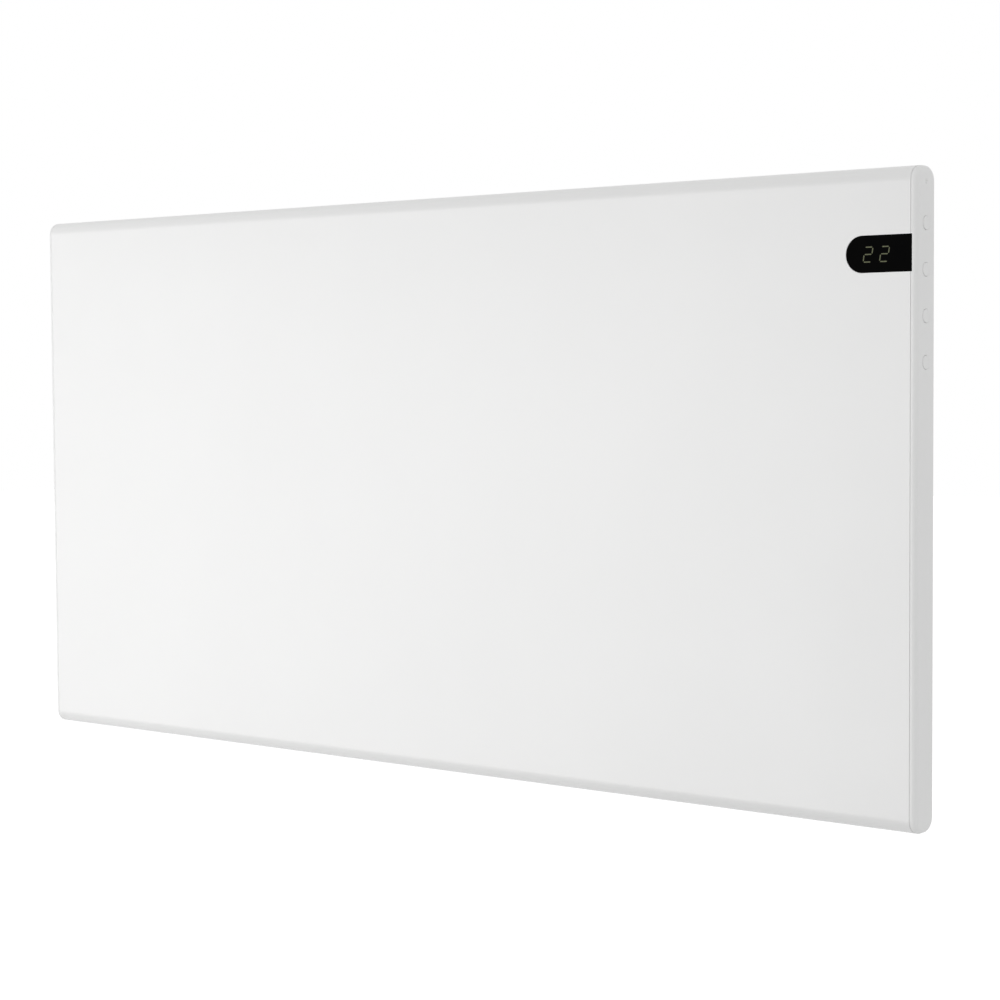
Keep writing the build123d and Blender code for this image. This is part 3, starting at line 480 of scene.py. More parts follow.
def outline(inset, knots):
    """The whole outline, moved in by inset: up the front side, over the top, down the back side
    and under the bottom, back to its start."""
    top_y, top_z = end_run(inset, 1)
    low_y, low_z = end_run(inset, -1)
    inner = knots[1:-1]
    front_y = np.full(inner.shape, shell_mid - half_depth + inset)
    y = np.concatenate([front_y, top_y, 2 * shell_mid - front_y, low_y[::-1], front_y[:1]])
    z = np.concatenate([inner, top_z, inner[::-1], low_z[::-1], inner[:1]])
    return y, z


def cap_knots(cells, extra=()):
    """Heights along a straight side where the cells and rings share points: each cell in short
    steps, the plain stretches between them in longer ones, and a few extra heights."""
    heights, last = [np.array([-flat_top])], -flat_top
    for low, high in [*cells, (flat_top, flat_top)]:
        stretches = ((last, low, int((low - last) / plain_step) + 1),
                     (low, high, int(round((high - low) / cell_step))))
        for start, end, count in stretches:
            if end - start > sliver:
                heights.append(np.linspace(start, end, max(2, count))[1:])
        last = high
    heights = np.concatenate(heights)
    near_extra = (np.abs(heights[:, None] - np.array(extra)[None, :]) < knot_room).any(1)
    return np.sort(np.concatenate([heights[~near_extra], extra]))


# %% [markdown]
# A flat face with round holes is made of three kinds of patch. A plain stretch is a rectangle. A
# stretch with a hole, a cell, runs in straight lines from the hole's rim to the cell's border, with
# a row close to the rim that keeps the shading tight. The dome at each end runs from a level line up
# to the outline, unless the top cell takes it in.

# %% Faces with round holes
# Slack for comparing heights that are meant to be equal, then shares of the way across a patch.
hair = 1e-9
dome_rows = np.linspace(0, 1, 4)[:, None]
cell_rows = np.array([0, 0.04, 0.4, 1])[:, None]


def under_dome(high):
    """Whether a cell reaches the height where the outline starts to curve."""
    return high > flat_top - hair


def between(knots, low, high):
    """The heights of a straight side from one border to another, both included."""
    return knots[(knots > low - hair) & (knots < high + hair)]


def ring_round(hole, inset, knots):
    """The border of a hole's cell, once round, and the direction from the hole's centre to each
    point. The top of the border is level, or the outline's own arc under the dome."""
    hole_z, _, low, high = hole
    across, dome_z = end_run(inset, 1)
    top_z = dome_z if under_dome(high) else np.full(across.shape, high)
    side = between(knots, low, high)
    y = np.concatenate([np.full(side.shape, across[0]), across[1:],
                        np.full(side.shape, across[-1])[1:], across[::-1][1:]])
    z = np.concatenate([side, top_z[1:], side[::-1][1:], np.full(across.shape, low)[1:]])
    length = np.hypot(y - shell_mid, z - hole_z)
    return y, z, (y - shell_mid) / length, (z - hole_z) / length


def cap_face(x, inset, knots, holes, rim):
    """All patches of a flat face at x: domes, plain stretches and cells with a hole.
    Holes are (height of centre, radius, low, high), and rim widens each radius."""
    across, dome_z = end_run(inset, 1)
    dome = flat_top + (dome_z - flat_top) * dome_rows
    domes = [-1] if holes and under_dome(holes[-1][3]) else [-1, 1]
    patches = [xyz(x, across[None, :], side * dome) for side in domes]
    edges = [-flat_top, *(edge for hole in holes for edge in hole[2:]), flat_top]
    for low, high in zip(edges[::2], edges[1::2]):
        plain = between(knots, low, high)
        if plain.size > 1:
            patches.append(xyz(x, across[None, :], plain[:, None]))
    for hole in holes:
        y, z, dir_y, dir_z = ring_round(hole, inset, knots)
        rim_y, rim_z = shell_mid + dir_y * (hole[1] + rim), hole[0] + dir_z * (hole[1] + rim)
        patches.append(xyz(x, rim_y + (y - rim_y) * cell_rows, rim_z + (z - rim_z) * cell_rows))
    return patches


def hole_wall(knots, hole, rim):
    """The wall of a hole: a quarter circle for the rim, then straight down to the inner face."""
    hole_z, radius = hole[:2]
    turn = np.linspace(0, np.pi / 2, 5)[:, None]
    out_y, out_z = ring_round(hole, cap_round, knots)[2:]
    in_y, in_z = ring_round(hole, spigot_inset + spigot_wall, knots)[2:]
    reach = radius + rim * (1 - np.sin(turn))
    mouth = xyz(cap_outside - rim * (1 - np.cos(turn)), shell_mid + out_y * reach, hole_z + out_z * reach)
    foot = xyz(cap_seat, shell_mid + in_y * radius, hole_z + in_z * radius)[None]
    return np.concatenate([mouth, foot])


# %% [markdown]
# The right cap has four key holes and a small one for the status lamp. The left cap is the same
# moulding without holes. The spigot stops short beside the display window, because the window's
# flange lies there. The hole rims are rounded by a quarter of a millimetre, and the light that this
# catches is most of what shows of the keys in the photograph.

# %% End cap pieces
key_names = ("mode_key", "down_key", "up_key", "power_key")
key_radius = 3.8 * MM
key_gap = 0.12 * MM
lamp_radius = 1.1 * MM
lamp_gap = 0.06 * MM
cell_half = 8.0 * MM
rim_round = 0.25 * MM


def middle(node):
    """The middle of a CAD node's box, as X, Y and Z."""
    return [(low + high) / 2 for low, high in zip(*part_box(node))]


lamp_z = middle("light_guide")[2]
cap_holes = [(z, key_radius + key_gap, z - cell_half, z + cell_half)
             for z in (middle(name)[2] for name in key_names)]
cap_holes.append((lamp_z, lamp_radius + lamp_gap, lamp_z - cell_half, flat_top))
window_edges = [window_z + side * (lens_radius + room * MM) for side in (-1, 1) for room in (0.1, 0.3)]


def end_cap(side, holes):
    """Patches of the cap at the right (1) or left (-1) end: faces, hole walls and rings."""
    knots = cap_knots([hole[2:] for hole in holes], window_edges if holes else ())
    inside = spigot_inset + spigot_wall
    patches = cap_face(cap_outside, cap_round, knots, holes, rim_round)
    patches += cap_face(cap_seat, inside, knots, holes, 0)
    patches += [hole_wall(knots, hole, rim_round) for hole in holes]
    turn = np.linspace(0, np.pi / 2, 9)
    shoulder = np.linspace(0, np.pi / 2, 4)
    ring_x = np.concatenate([cap_outside - cap_round * (1 - np.cos(turn)),
                             cap_seat + seam_edge * (1 - np.sin(shoulder)),
                             [cap_seat, land_end, land_end, spigot_end, spigot_end, cap_seat]])
    inset = np.concatenate([cap_round * (1 - np.sin(turn)), seam_edge * (1 - np.cos(shoulder)),
                            [seam_depth, seam_depth, spigot_inset, spigot_inset, inside, inside]])
    rings = []
    for x, amount in zip(ring_x, inset):
        y, z = outline(amount, knots)
        if holes and x < cap_seat:
            from_window = np.where(y < shell_mid - half_depth / 2, np.abs(z - window_z) - lens_radius, 1)
            x = np.where(from_window < 2 * lens_flange, max(x, land_end), x)
            x = np.where(from_window < window_gap, cap_seat - window_room, x)
        rings.append(xyz(x, y, z))
    patches.append(np.stack(rings))
    return [patch * (side, 1, 1) for patch in patches]


for name, side, holes in (("right", 1, cap_holes), ("left", -1, [])):
    cap = new_piece(f"moulded_{name}_cap", end_cap(side, holes), "heater", "cap_plastic", [name + "_end_cap"])
    even_normals(cap)

# %% [markdown]
# ## Display window
#
# The window is a glossy black moulding, snapped in from behind. Its front lies a hair below the
# sheet and fills the notch, and a wider flange holds it behind the sheet. The shape is flat, so it
# could be a curve with an extrusion. As rings of one D-shaped outline it gets a rounded edge for the
# reflections, and front and back faces whose columns match the rings.

# %% Window
window_rows = np.linspace(-1, 1, 9)
window_edge = 0.15 * MM


def window_columns(inset):
    """Columns of the D shape: X and half height, for an inset outline or a wider flange, which
    ends where the sheet does."""
    return notch_edge(lens_radius - inset, lens_end - inset if inset >= 0 else flange_end, 8)


def window_ring(y, inset):
    """The D-shaped outline once round, at a depth y."""
    x, half = window_columns(inset)
    end = window_rows[1:] * half[-1]
    return xyz(np.concatenate([x[::-1], x[1:], np.full(end.shape, x[-1])]), y,
               window_z + np.concatenate([half[::-1], -half[1:], end]))


def window_face(y, inset):
    """The flat face inside an outline: each column runs from its lower to its upper point."""
    x, half = window_columns(inset)
    return xyz(x[None, :], y, window_z + window_rows[:, None] * half[None, :])


turn = np.linspace(0, np.pi / 2, 5)
window_depths = np.concatenate([lens_front + window_edge * (1 - np.cos(turn)),
                                [front + sheet, front + sheet, lens_back]])
window_insets = np.concatenate([window_edge * (1 - np.sin(turn)), [0, -lens_flange, -lens_flange]])
black_window = new_piece(
    "black_display_window",
    [window_face(lens_front, window_edge), window_face(lens_back, -lens_flange),
     np.stack([window_ring(y, inset) for y, inset in zip(window_depths, window_insets)])],
    "heater", "window_black", ["display_window"])
even_normals(black_window)

# %% [markdown]
# ## Digits
#
# The reading is a plain 22 on a seven-segment display. Each stroke is a slim bar with pointed ends.
# It is a path along the stroke with a half width that rises from nothing, stays level and falls
# again, and the whole digit leans to the right. The strokes lie on the window as thin solids, so
# that they keep their shape in a model without pictures.

# %% Seven-segment digits
digit_lefts = (328.8 * MM, 339.2 * MM)
digit_wide = 5.0 * MM
bar_top, bar_middle, bar_bottom = 140.95 * MM, 136.95 * MM, 132.75 * MM
stroke = 0.64 * MM
stroke_gap = 0.42 * MM
stroke_proud = 0.03 * MM
# A tip is this share of the half width long. Widths along a stroke, as shares, start and end at 0.
tip_slope = 0.7
tip_widths = np.array([0, 0.35, 1, 1, 0.35, 0])[:, None, None]
lean = math.tan(math.radians(8.5))


def stroke_bar(start, end):
    """A bar from one corner point of a digit to another, as a closed tube of four sides. Its half
    width is small at both tips, grows in a short slope and is level between the slopes."""
    start, end = np.array(start), np.array(end)
    length = np.linalg.norm(end - start)
    along = (end - start) / length
    across = np.array([-along[1], along[0]])
    half = stroke / 2
    slope = stroke_gap + np.array([0, 0, tip_slope * half])
    place = np.concatenate([slope, length - slope[::-1]])[:, None, None]
    width = half * tip_widths
    side = np.array([-1, 1, 1, -1, -1])[None, :, None]
    flat = start + along * place + across * width * side
    proud = stroke_proud * np.array([0, 0, 1, 1, 0]) * (width[:, :, 0] > 0)
    depth = lens_front - np.broadcast_to(proud, flat.shape[:2])
    return xyz(flat[..., 0] + lean * (flat[..., 1] - bar_bottom), depth, flat[..., 1])


def figure_two(left):
    """The five strokes of a 2, from the top bar round to the bottom bar."""
    right = left + digit_wide
    path = [(left, bar_top), (right, bar_top), (right, bar_middle), (left, bar_middle),
            (left, bar_bottom), (right, bar_bottom)]
    return [stroke_bar(start, end) for start, end in zip(path, path[1:])]


new_piece("temperature_digits", [bar for left in digit_lefts for bar in figure_two(left)],
          "heater", "light_clear")

# %% [markdown]
# ## Keys and status lamp
#
# Keys, the status lamp, screws, pins and rivets are turned shapes: a profile of distances along an
# axis and radii, carried round the axis. Revolving a curve would do the same, but here the radius may
# also change with the angle.

# %% Turned shapes
def turned(along, radius, centre, axis="X", steps=64):
    """A profile of distances along an axis and radii, carried once round the axis. Both may also be
    grids with a column for each step of the turn, for shapes that aren't round."""
    turn = np.linspace(0, 2 * np.pi, steps + 1)[None, :]
    along = np.asarray(along, float)
    radius = np.asarray(radius, float)
    along, radius = (a[:, None] if a.ndim == 1 else a for a in (along, radius))
    one, two = radius * np.cos(turn), radius * np.sin(turn)
    order = {"X": (along, one, two), "Y": (one, along, -two), "Z": (one, two, along)}[axis]
    return xyz(*order) + np.array(centre)


# %% [markdown]
# The top of a key is a shallow dish for a fingertip, and its edge is a quarter circle, so that a soft
# light draws a thin arc on one side of it. A collar holds it behind the cap.

# %% Keys
key_edge = 0.4 * MM
key_dish = 0.18 * MM
key_stem = 1.75 * MM
collar_drop = 0.3 * MM
collar_thick = 1.6 * MM


def key_profile(node):
    """Distances and radii of a key: the dished top, the rounded edge, the side, the collar
    behind the cap and the stem down to its switch."""
    low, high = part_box(node)
    collar = (high.z - low.z) / 2
    dish_r = np.linspace(0, key_radius - key_edge, 12)
    turn = np.linspace(0, np.pi / 2, 6)[1:]
    dish_x = high.x - key_dish * (1 - (dish_r / dish_r[-1]) ** 2)
    edge_x = high.x - key_edge * (1 - np.cos(turn))
    edge_r = key_radius - key_edge * (1 - np.sin(turn))
    collar_x = cap_seat - collar_drop
    along = [collar_x, collar_x, collar_x - collar_thick, collar_x - collar_thick, low.x, low.x]
    radius = [key_radius, collar, collar, key_stem, key_stem, 0]
    return np.concatenate([dish_x, edge_x, along]), np.concatenate([dish_r, edge_r, radius])


for name in key_names:
    key = new_piece("dished_" + name, [turned(*key_profile(name), (0, *middle(name)[1:]))],
                    name, "cap_plastic", [name], crease=40)
    even_normals(key)

# %% [markdown]
# The lamp is the domed end of a small light guide, whose wider tail sits behind the cap.

# %% Status lamp
guide_low, guide_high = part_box("light_guide")
guide_tail = (guide_high.z - guide_low.z) / 2
guide_round = 0.2 * MM
dome = np.linspace(0, np.pi / 2, 8)
guide_along = np.concatenate([guide_high.x - guide_round * (1 - np.cos(dome)),
                              [cap_seat, cap_seat, guide_low.x + guide_round, guide_low.x, guide_low.x]])
guide_radius = np.concatenate([lamp_radius * np.sin(dome),
                               [lamp_radius, guide_tail, guide_tail, guide_tail - guide_round, 0]])
new_piece("status_lamp", [turned(guide_along, guide_radius, (0, shell_mid, lamp_z), steps=32)],
          "heater", "light_clear", ["light_guide"], crease=40)

# %% [markdown]
# ## Screws with a cross recess
#
# The screws face the wall, round the tray and along both caps. A plain cylinder would do at a
# distance, but a cross recess and a domed head are what make a small screw look real. The recess
# comes from the same turned shape: its radius changes with the angle, so that a ring follows a plus
# sign instead of a circle. The thread is a radius that rises and falls along a helix.

# %% Cross-head screws
head_radius = 3.2 * MM
head_height = 2.0 * MM
head_round = 0.25 * MM
head_dome = 0.55 * MM
shank_radius = 1.5 * MM
tip_radius = 0.8 * MM
recess_arm = 1.55 * MM
recess_depth = 1.3 * MM
# The half width of an arm in steps of the turn, and rows of its mouth: depth, share of the size.
arm_half_steps = 3
recess_mouth = ((0.12 * MM, 0.97), (0.06 * MM, 1.06))
thread_pitch = 0.8 * MM
thread_depth = 0.32 * MM
screw_steps = 64


def plus_outline(arm):
    """Radius of a plus sign at each angle: the further of the borders of its two bars. A bar's
    border is the nearer of its long side and its end."""
    turn = np.linspace(0, 2 * np.pi, screw_steps + 1)
    one, two = np.abs(np.cos(turn)) + hair, np.abs(np.sin(turn)) + hair
    half = arm * math.tan(arm_half_steps * 2 * math.pi / screw_steps)
    return np.maximum(np.minimum(half / two, arm / one), np.minimum(half / one, arm / two))


def cross_screw(x, z, tip, top):
    """A screw along Y, from its tip to the top of its head: the recess, the dome, the head's side
    and underside, and a shank whose radius is a saw tooth along a helix."""
    ring = np.ones(screw_steps + 1)
    lead = np.linspace(0, 1, screw_steps + 1)
    plus = plus_outline(recess_arm)
    dome_r = np.linspace(0.62, 1, 7) * (head_radius - head_round)
    dome_y = top - head_dome * (dome_r / head_radius) ** 2
    corner = np.linspace(0, np.pi / 2, 4)[1:]
    under = top - head_height
    thread_y = np.linspace(under - 0.1 * MM, tip + 0.5 * MM, 44)
    tooth = np.abs((thread_y[:, None] / thread_pitch + lead[None, :]) % 1 - 0.5) * 2
    shank = shank_radius - thread_depth * (1 - tooth)
    rows = [(top - recess_depth, 0 * ring), (top - recess_depth, 0.45 * plus)]
    rows += [(top - depth, plus * share) for depth, share in recess_mouth]
    rows += [(y, r * ring) for y, r in zip(dome_y, dome_r)]
    rows += [(dome_y[-1] - head_round * (1 - math.cos(a)), (dome_r[-1] + head_round * math.sin(a)) * ring)
             for a in corner]
    rows += [(under, head_radius * ring), (under, shank_radius * ring)]
    rows += list(zip(thread_y, shank))
    rows += [(tip, tip_radius * ring), (tip, 0 * ring)]
    along = np.stack([y * ring for y, _ in rows])
    radius = np.stack([r for _, r in rows])
    return turned(along, radius, (x, 0, z), axis="Y", steps=screw_steps)


# %% [markdown]
# All the screws of a kind are one CAD node, so its points are sorted into lumps to find each screw's
# place.

# %% Screws in their places
def node_middles(node, apart):
    """Middles of the loose lumps of a CAD node, as X and Z: its points sorted into lumps by where
    they lie on a coarse lattice."""
    points = np.empty(len(nodes[node].data.vertices) * 3)
    nodes[node].data.vertices.foreach_get("co", points)
    flat = points.reshape(-1, 3)[:, [0, 2]]
    _, lump = np.unique(np.round(flat / apart).astype(int), axis=0, return_inverse=True)
    lump = lump.reshape(-1)
    return [(flat[lump == n].min(0) + flat[lump == n].max(0)) / 2 for n in range(lump.max() + 1)]


lump_apart = 40 * MM
for node in ("tray_screws", "cap_screws"):
    low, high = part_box(node)
    middles = node_middles(node, lump_apart)
    new_piece("cross_head_" + node, [cross_screw(x, z, low.y, high.y) for x, z in middles],
              "heater", "fastener_steel", [node], crease=30)
    print(len(middles), "screws at", np.round(np.array(middles) / MM, 1).tolist())

# %% [markdown]
# ## Pins and rivets
#
# Two pins carry the heater, two rivets hold the locks and two more join the cross rail to the
# uprights. They are headed by a press, so no edge of theirs is sharp and each head is a low dome. A
# bevel would do for the edges, but not for the dome. So they are turned from a profile whose corners
# are softened by a parabola. The nut under a lock's rivet is the same kind of ring as the cross
# recess: its radius is that of a hexagon at each angle.

# %% Softened profiles and hinge pins
def softened(corners, rounding):
    """A profile with its inner corners rounded: near a corner the path follows a parabola that
    leaves one side and meets the other at the rounding's distance, or halfway along a short side."""
    corners = np.array(corners, float)
    here = corners[1:-1]

    def towards(other):
        """The point on the way from each corner to a neighbour where the parabola begins."""
        step = other - here
        length = np.linalg.norm(step, axis=1, keepdims=True)
        return here + step * np.minimum(rounding / length, 0.5)

    start, end = towards(corners[:-2]), towards(corners[2:])
    t = np.linspace(0, 1, 5)[None, :, None]
    curve = (1 - t) ** 2 * start[:, None] + 2 * t * (1 - t) * here[:, None] + t ** 2 * end[:, None]
    return np.concatenate([corners[:1], curve.reshape(-1, 2), corners[-1:]])


def headed(tail, seat, crown, shank, head, dome):
    """Distances and radii of a rivet or pin from its tail to its crown: a softened shank and head,
    and a dome whose height falls with the square of the radius."""
    way = math.copysign(1, crown - tail)
    body = softened([(tail, 0), (tail, shank), (seat, shank), (seat, head), (crown - way * dome, head),
                     (crown - way * dome * 0.9, head * 0.95)], head_round)
    radius = np.linspace(0.95, 0, 8)[1:]
    return np.concatenate([body, np.stack([crown - way * dome * radius ** 2, radius * head], -1)]).T


def domed(name, patches):
    """A headed piece of the bracket, in place of the CAD node of that name."""
    new_piece("domed_" + name, patches, "wall_bracket", "fastener_steel", [name], crease=40)


pin_shank = 3.0 * MM
pin_dome = 0.4 * MM
head_thick = 1.4 * MM
for side, name in ((-1, "left_hinge_pin"), (1, "right_hinge_pin")):
    low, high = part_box(name)
    tail, crown = (low.x, high.x) if side > 0 else (high.x, low.x)
    profile = headed(tail, crown - side * head_thick, crown, pin_shank, (high.z - low.z) / 2, pin_dome)
    domed(name, [turned(*profile, (0, *middle(name)[1:]))])

# %% [markdown]
# The lock's rivet stands upright, with its head above the lock and its nut under the rail. The rivets
# of the cross rail lie along X, and the second is the first one seen in a mirror.

# %% Rivets and nuts
lock_head = 4.3 * MM
nut_steps = 96
nut_widths = np.array([0, 0.95, 1, 1, 0])[:, None]
for name in ("left_lock_rivet", "right_lock_rivet"):
    low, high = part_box(name)
    place = (*middle(name)[:2], 0)
    profile = headed(low.z + head_thick, high.z - head_thick, high.z, pin_shank, lock_head, pin_dome)
    turn = np.linspace(0, 2 * np.pi, nut_steps + 1)
    flat_side = (high.x - low.x) / 2 * math.cos(math.pi / 6)
    hexagon = flat_side / np.cos(turn % (math.pi / 3) - math.pi / 6)
    nut_z = low.z + np.array([0, 0, 0.2 * MM, head_thick, head_thick])
    nut = turned(nut_z, nut_widths * hexagon, place, "Z", nut_steps)
    domed(name, [turned(*profile, place, "Z", screw_steps), nut])

rivet_length = 4.4 * MM
rivet_shank = 2.0 * MM
rivet_dome = 0.5 * MM
low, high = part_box("bracket_rivets")
crown = high.x - rivet_length
profile = headed(high.x, crown + head_thick, crown, rivet_shank, (high.z - low.z) / 2, rivet_dome)
rivet = turned(*profile, (0, *middle("bracket_rivets")[1:]), steps=48)
domed("bracket_rivets", [rivet, rivet * (-1, 1, 1)])

# %% [markdown]
# ## Smooth copies of the CAD pieces
#
# The CAD model's meshes are loose triangles, and a round edge shows its facets. A copy with its
# doubles merged and its flat triangles joined can be shaded smooth, and a narrow bevel breaks its
# sharp edges, as a press tool or a mould does. The copy stands in for its CAD node. The model itself
# stays as it is.

# %% Copies
copy_weld = 0.001 * MM
copy_flat = math.radians(0.6)
copy_crease = math.radians(32)


def smooth_copy(node, bevel):
    """A copy of a CAD node with merged points, joined flat triangles, smooth shading and a bevel."""
    source = nodes[node]
    piece = bpy.data.objects.new("finished_" + node, source.data.copy())
    scene.collection.objects.link(piece)
    shape = bmesh.new()
    shape.from_mesh(piece.data)
    bmesh.ops.remove_doubles(shape, verts=shape.verts, dist=copy_weld)
    bmesh.ops.dissolve_limit(shape, angle_limit=copy_flat, verts=shape.verts, edges=shape.edges)
    shape.to_mesh(piece.data)
    shape.free()
    if "custom_normal" in piece.data.attributes:
        piece.data.attributes.remove(piece.data.attributes["custom_normal"])
    piece.data.shade_smooth()
    piece.data.set_sharp_from_angle(angle=copy_crease)
    if bevel:
        break_edges(piece, width=bevel, segments=2, angle=50, clamp=False)
    ride_as(piece, source["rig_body"], source.material_slots[0].material.name, [node])


pressed = ("rear_tray", "left_upright", "right_upright", "top_rail", "bottom_rail", "left_hinge_ear",
           "right_hinge_ear", "heat_shield", "baffle_plate", "left_element_hanger", "right_element_hanger")
moulded = ("left_turn_lock", "right_turn_lock", "rail_bumpers", "cable_gland", "gland_nut", "sensor_holder",
           "display_carrier", "terminal_block", "relay", "transformer", "capacitors", "board_fuse",
           "board_standoffs", "element_bushes", "thermal_cutout")
turned_down = ("earth_screw", "element_rod", "element_terminals", "room_sensor")
for group, bevel in ((pressed, 0.1 * MM), (moulded, 0.15 * MM), (turned_down, 0.0)):
    for node in group:
        smooth_copy(node, bevel)

# %% [markdown]
# ## Effects that several finishes share
#
# Real surfaces are never one flat colour. Each effect below is a node group with named inputs, built
# once and placed in every material that needs it, with its own values. All of them work in
# millimetres on the object's own coordinates, so a grain of 0.3 is 0.3 mm wide on every piece. They
# put out masks, levels and heights only. The shader stays in the material. `near` puts a node in the
# tree that its inputs belong to, so the same helpers serve the groups and the materials.

# %% Group and node helpers
def effect(name, inputs, outputs):
    """A shader node group with inputs {label: value} and a list of outputs. A value of None is a
    vector, a number is a number. Returns the group, its input sockets and its output sockets."""
    tree = bpy.data.node_groups.new(name, "ShaderNodeTree")
    for label, value in inputs.items():
        kind = "NodeSocketVector" if value is None else "NodeSocketFloat"
        socket = tree.interface.new_socket(label, in_out="INPUT", socket_type=kind)
        if value is not None:
            socket.default_value = value
    for label in outputs:
        tree.interface.new_socket(label, in_out="OUTPUT", socket_type="NodeSocketFloat")
    return tree, tree.nodes.new("NodeGroupInput").outputs, tree.nodes.new("NodeGroupOutput").inputs


def near(kind, inputs, **options):
    """A new node in the tree that its first linked input belongs to."""
    tree = next(value.id_data for value in inputs.values() if isinstance(value, bpy.types.NodeSocket))
    return put(tree, kind, inputs, **options)


def link(value, socket):
    """Links a value that changes over the surface to a socket."""
    value.id_data.links.new(value, socket)


def maths(operation, one, two):
    """One arithmetic node."""
    return near("Math", {0: one, 1: two}, operation=operation).outputs[0]


def spread(value, low, high, to_low, to_high):
    """Carries a range of values onto another one."""
    return near("MapRange", {"Value": value, "From Min": low, "From Max": high,
                             "To Min": to_low, "To Max": to_high}).outputs[0]


def noise(place, scale, detail):
    """A cloudy value round 0.5, with a scale in turns per millimetre."""
    return near("TexNoise", {"Vector": place, "Scale": scale, "Detail": detail}).outputs[0]


def turns_of(given):
    """Turns per millimetre from a group's size in millimetres."""
    return maths("DIVIDE", 1.0, given["Size"])


# %% [markdown]
# `mould_grain` is the fine orange peel of paint and the spark texture of a mould: two layers of
# noise, the second one smaller. `tone_drift` is the slow change of tone over a large surface.

# %% Grain and drift
mould_grain, given, result = effect("mould_grain", {"Place": None, "Size": 1.0}, ["Height"])
turns = turns_of(given)
coarse = noise(given["Place"], turns, 2.0)
fine = noise(given["Place"], maths("MULTIPLY", turns, 3.7), 2.0)
link(maths("ADD", coarse, maths("MULTIPLY", fine, 0.35)), result["Height"])

drift_inputs = {"Place": None, "Size": 90.0, "Low": 0.97, "High": 1.0}
tone_drift, given, result = effect("tone_drift", drift_inputs, ["Level"])
slow = noise(given["Place"], turns_of(given), 3.0)
link(spread(slow, 0.3, 0.7, given["Low"], given["High"]), result["Level"])
print("made", mould_grain.name, "and", tone_drift.name)

# %% [markdown]
# `edge_wear` finds convex edges by looking at how near the surface is to itself from the inside.
# `settled_dust` lies on faces that look up and in the corners that a cloth doesn't reach. Both are
# broken up by noise, because neither ever runs in an even line.

# %% Wear and dust
edge_wear, given, result = effect("edge_wear", {"Place": None, "Width": 0.4}, ["Mask"])
inside = near("AmbientOcclusion", {"Distance": maths("MULTIPLY", given["Width"], MM)},
              inside=True, samples=6, only_local=True)
worn = maths("SUBTRACT", 1.0, inside.outputs["AO"])
patchy = noise(given["Place"], 0.45, 4.0)
link(spread(maths("MULTIPLY", worn, patchy), 0.18, 0.42, 0.0, 1.0), result["Mask"])

settled_dust, given, result = effect("settled_dust", {"Place": None, "Amount": 0.3}, ["Mask"])
around = put(settled_dust, "AmbientOcclusion", {"Distance": 6.0 * MM}, samples=6)
corner = spread(around.outputs["AO"], 0.35, 0.9, 0.6, 0.0)
facing = near("SeparateXYZ", {0: put(settled_dust, "NewGeometry").outputs["Normal"]}).outputs["Z"]
level_face = spread(facing, 0.6, 1.0, 0.0, 1.0)
cloudy = spread(noise(given["Place"], 0.12, 5.0), 0.35, 0.7, 0.2, 1.0)
lying = maths("MULTIPLY", maths("MAXIMUM", corner, level_face), cloudy)
link(maths("MULTIPLY", lying, given["Amount"]), result["Mask"])
print("made", edge_wear.name, "and", settled_dust.name)

# %% [markdown]
# `drawn_lines` are the fine lines that a die or a brush leaves along a metal: noise squeezed across
# and stretched along X. `zinc_spangle` is the patchwork of crystals on galvanised sheet: flat cells
# of random level. `flecks` are small round spots, such as the tinned pads of a circuit board.

# %% Lines, spangle and flecks
drawn_lines, given, result = effect("drawn_lines", {"Place": None, "Size": 0.5}, ["Level"])
squeeze = near("VectorMath", {0: given["Place"], 1: (0.02, 1.0, 1.0)}, operation="MULTIPLY")
link(noise(squeeze.outputs[0], turns_of(given), 3.0), result["Level"])

zinc_spangle, given, result = effect("zinc_spangle", {"Place": None, "Size": 7.0}, ["Level", "Seam"])
wander = near("TexNoise", {"Vector": given["Place"], "Scale": 0.3, "Detail": 2.0})
bent = near("VectorMath", {0: wander.outputs[1], 1: (3.0, 3.0, 3.0), 2: given["Place"]},
            operation="MULTIPLY_ADD")
crystals = {"Vector": bent.outputs[0], "Scale": turns_of(given)}
cells = near("TexVoronoi", crystals)
borders = near("TexVoronoi", crystals, feature="DISTANCE_TO_EDGE")
link(near("SeparateColor", {0: cells.outputs["Color"]}).outputs[0], result["Level"])
link(spread(borders.outputs["Distance"], 0.0, 0.06, 1.0, 0.0), result["Seam"])

flecks, given, result = effect("flecks", {"Place": None, "Size": 1.5, "Share": 0.3}, ["Mask"])
dots = near("TexVoronoi", {"Vector": given["Place"], "Scale": turns_of(given)})
round_dot = spread(dots.outputs["Distance"], 0.1, 0.2, 1.0, 0.0)
chosen = near("SeparateColor", {0: dots.outputs["Color"]}).outputs[1]
link(maths("MULTIPLY", round_dot, maths("LESS_THAN", chosen, given["Share"])), result["Mask"])
print("made", drawn_lines.name + ",", zinc_spangle.name, "and", flecks.name)

# %% [markdown]
# ## Helpers for finishes
#
# A finish starts from one Principled shader. Values that are the same all over the surface are set
# on its own sockets, and only what changes over the surface is linked. `mixed` goes from one colour
# to another by a mask, and `raised` turns heights into a bump with a depth in millimetres.

# %% Finish helpers
finishes = {}


def finish(name, **constants):
    """A new material with one Principled shader: its place in mm and the shader's sockets."""
    finishes[name] = bpy.data.materials.new(name)
    tree = bare_tree(finishes[name])
    shader = put(tree, "BsdfPrincipled")
    for label, value in constants.items():
        shader.inputs[label.replace("_", " ").title().replace("Ior", "IOR")].default_value = value
    put(tree, "OutputMaterial", {"Surface": shader.outputs[0]})
    place = near("VectorMath", {0: put(tree, "TexCoord").outputs["Object"], "Scale": 1 / MM},
                 operation="SCALE")
    return place.outputs[0], shader.inputs


def part_of(group, place, output=0, **values):
    """One output of a group, placed in a material with its own values."""
    return near("Group", {"Place": place, **values}, node_tree=group).outputs[output]


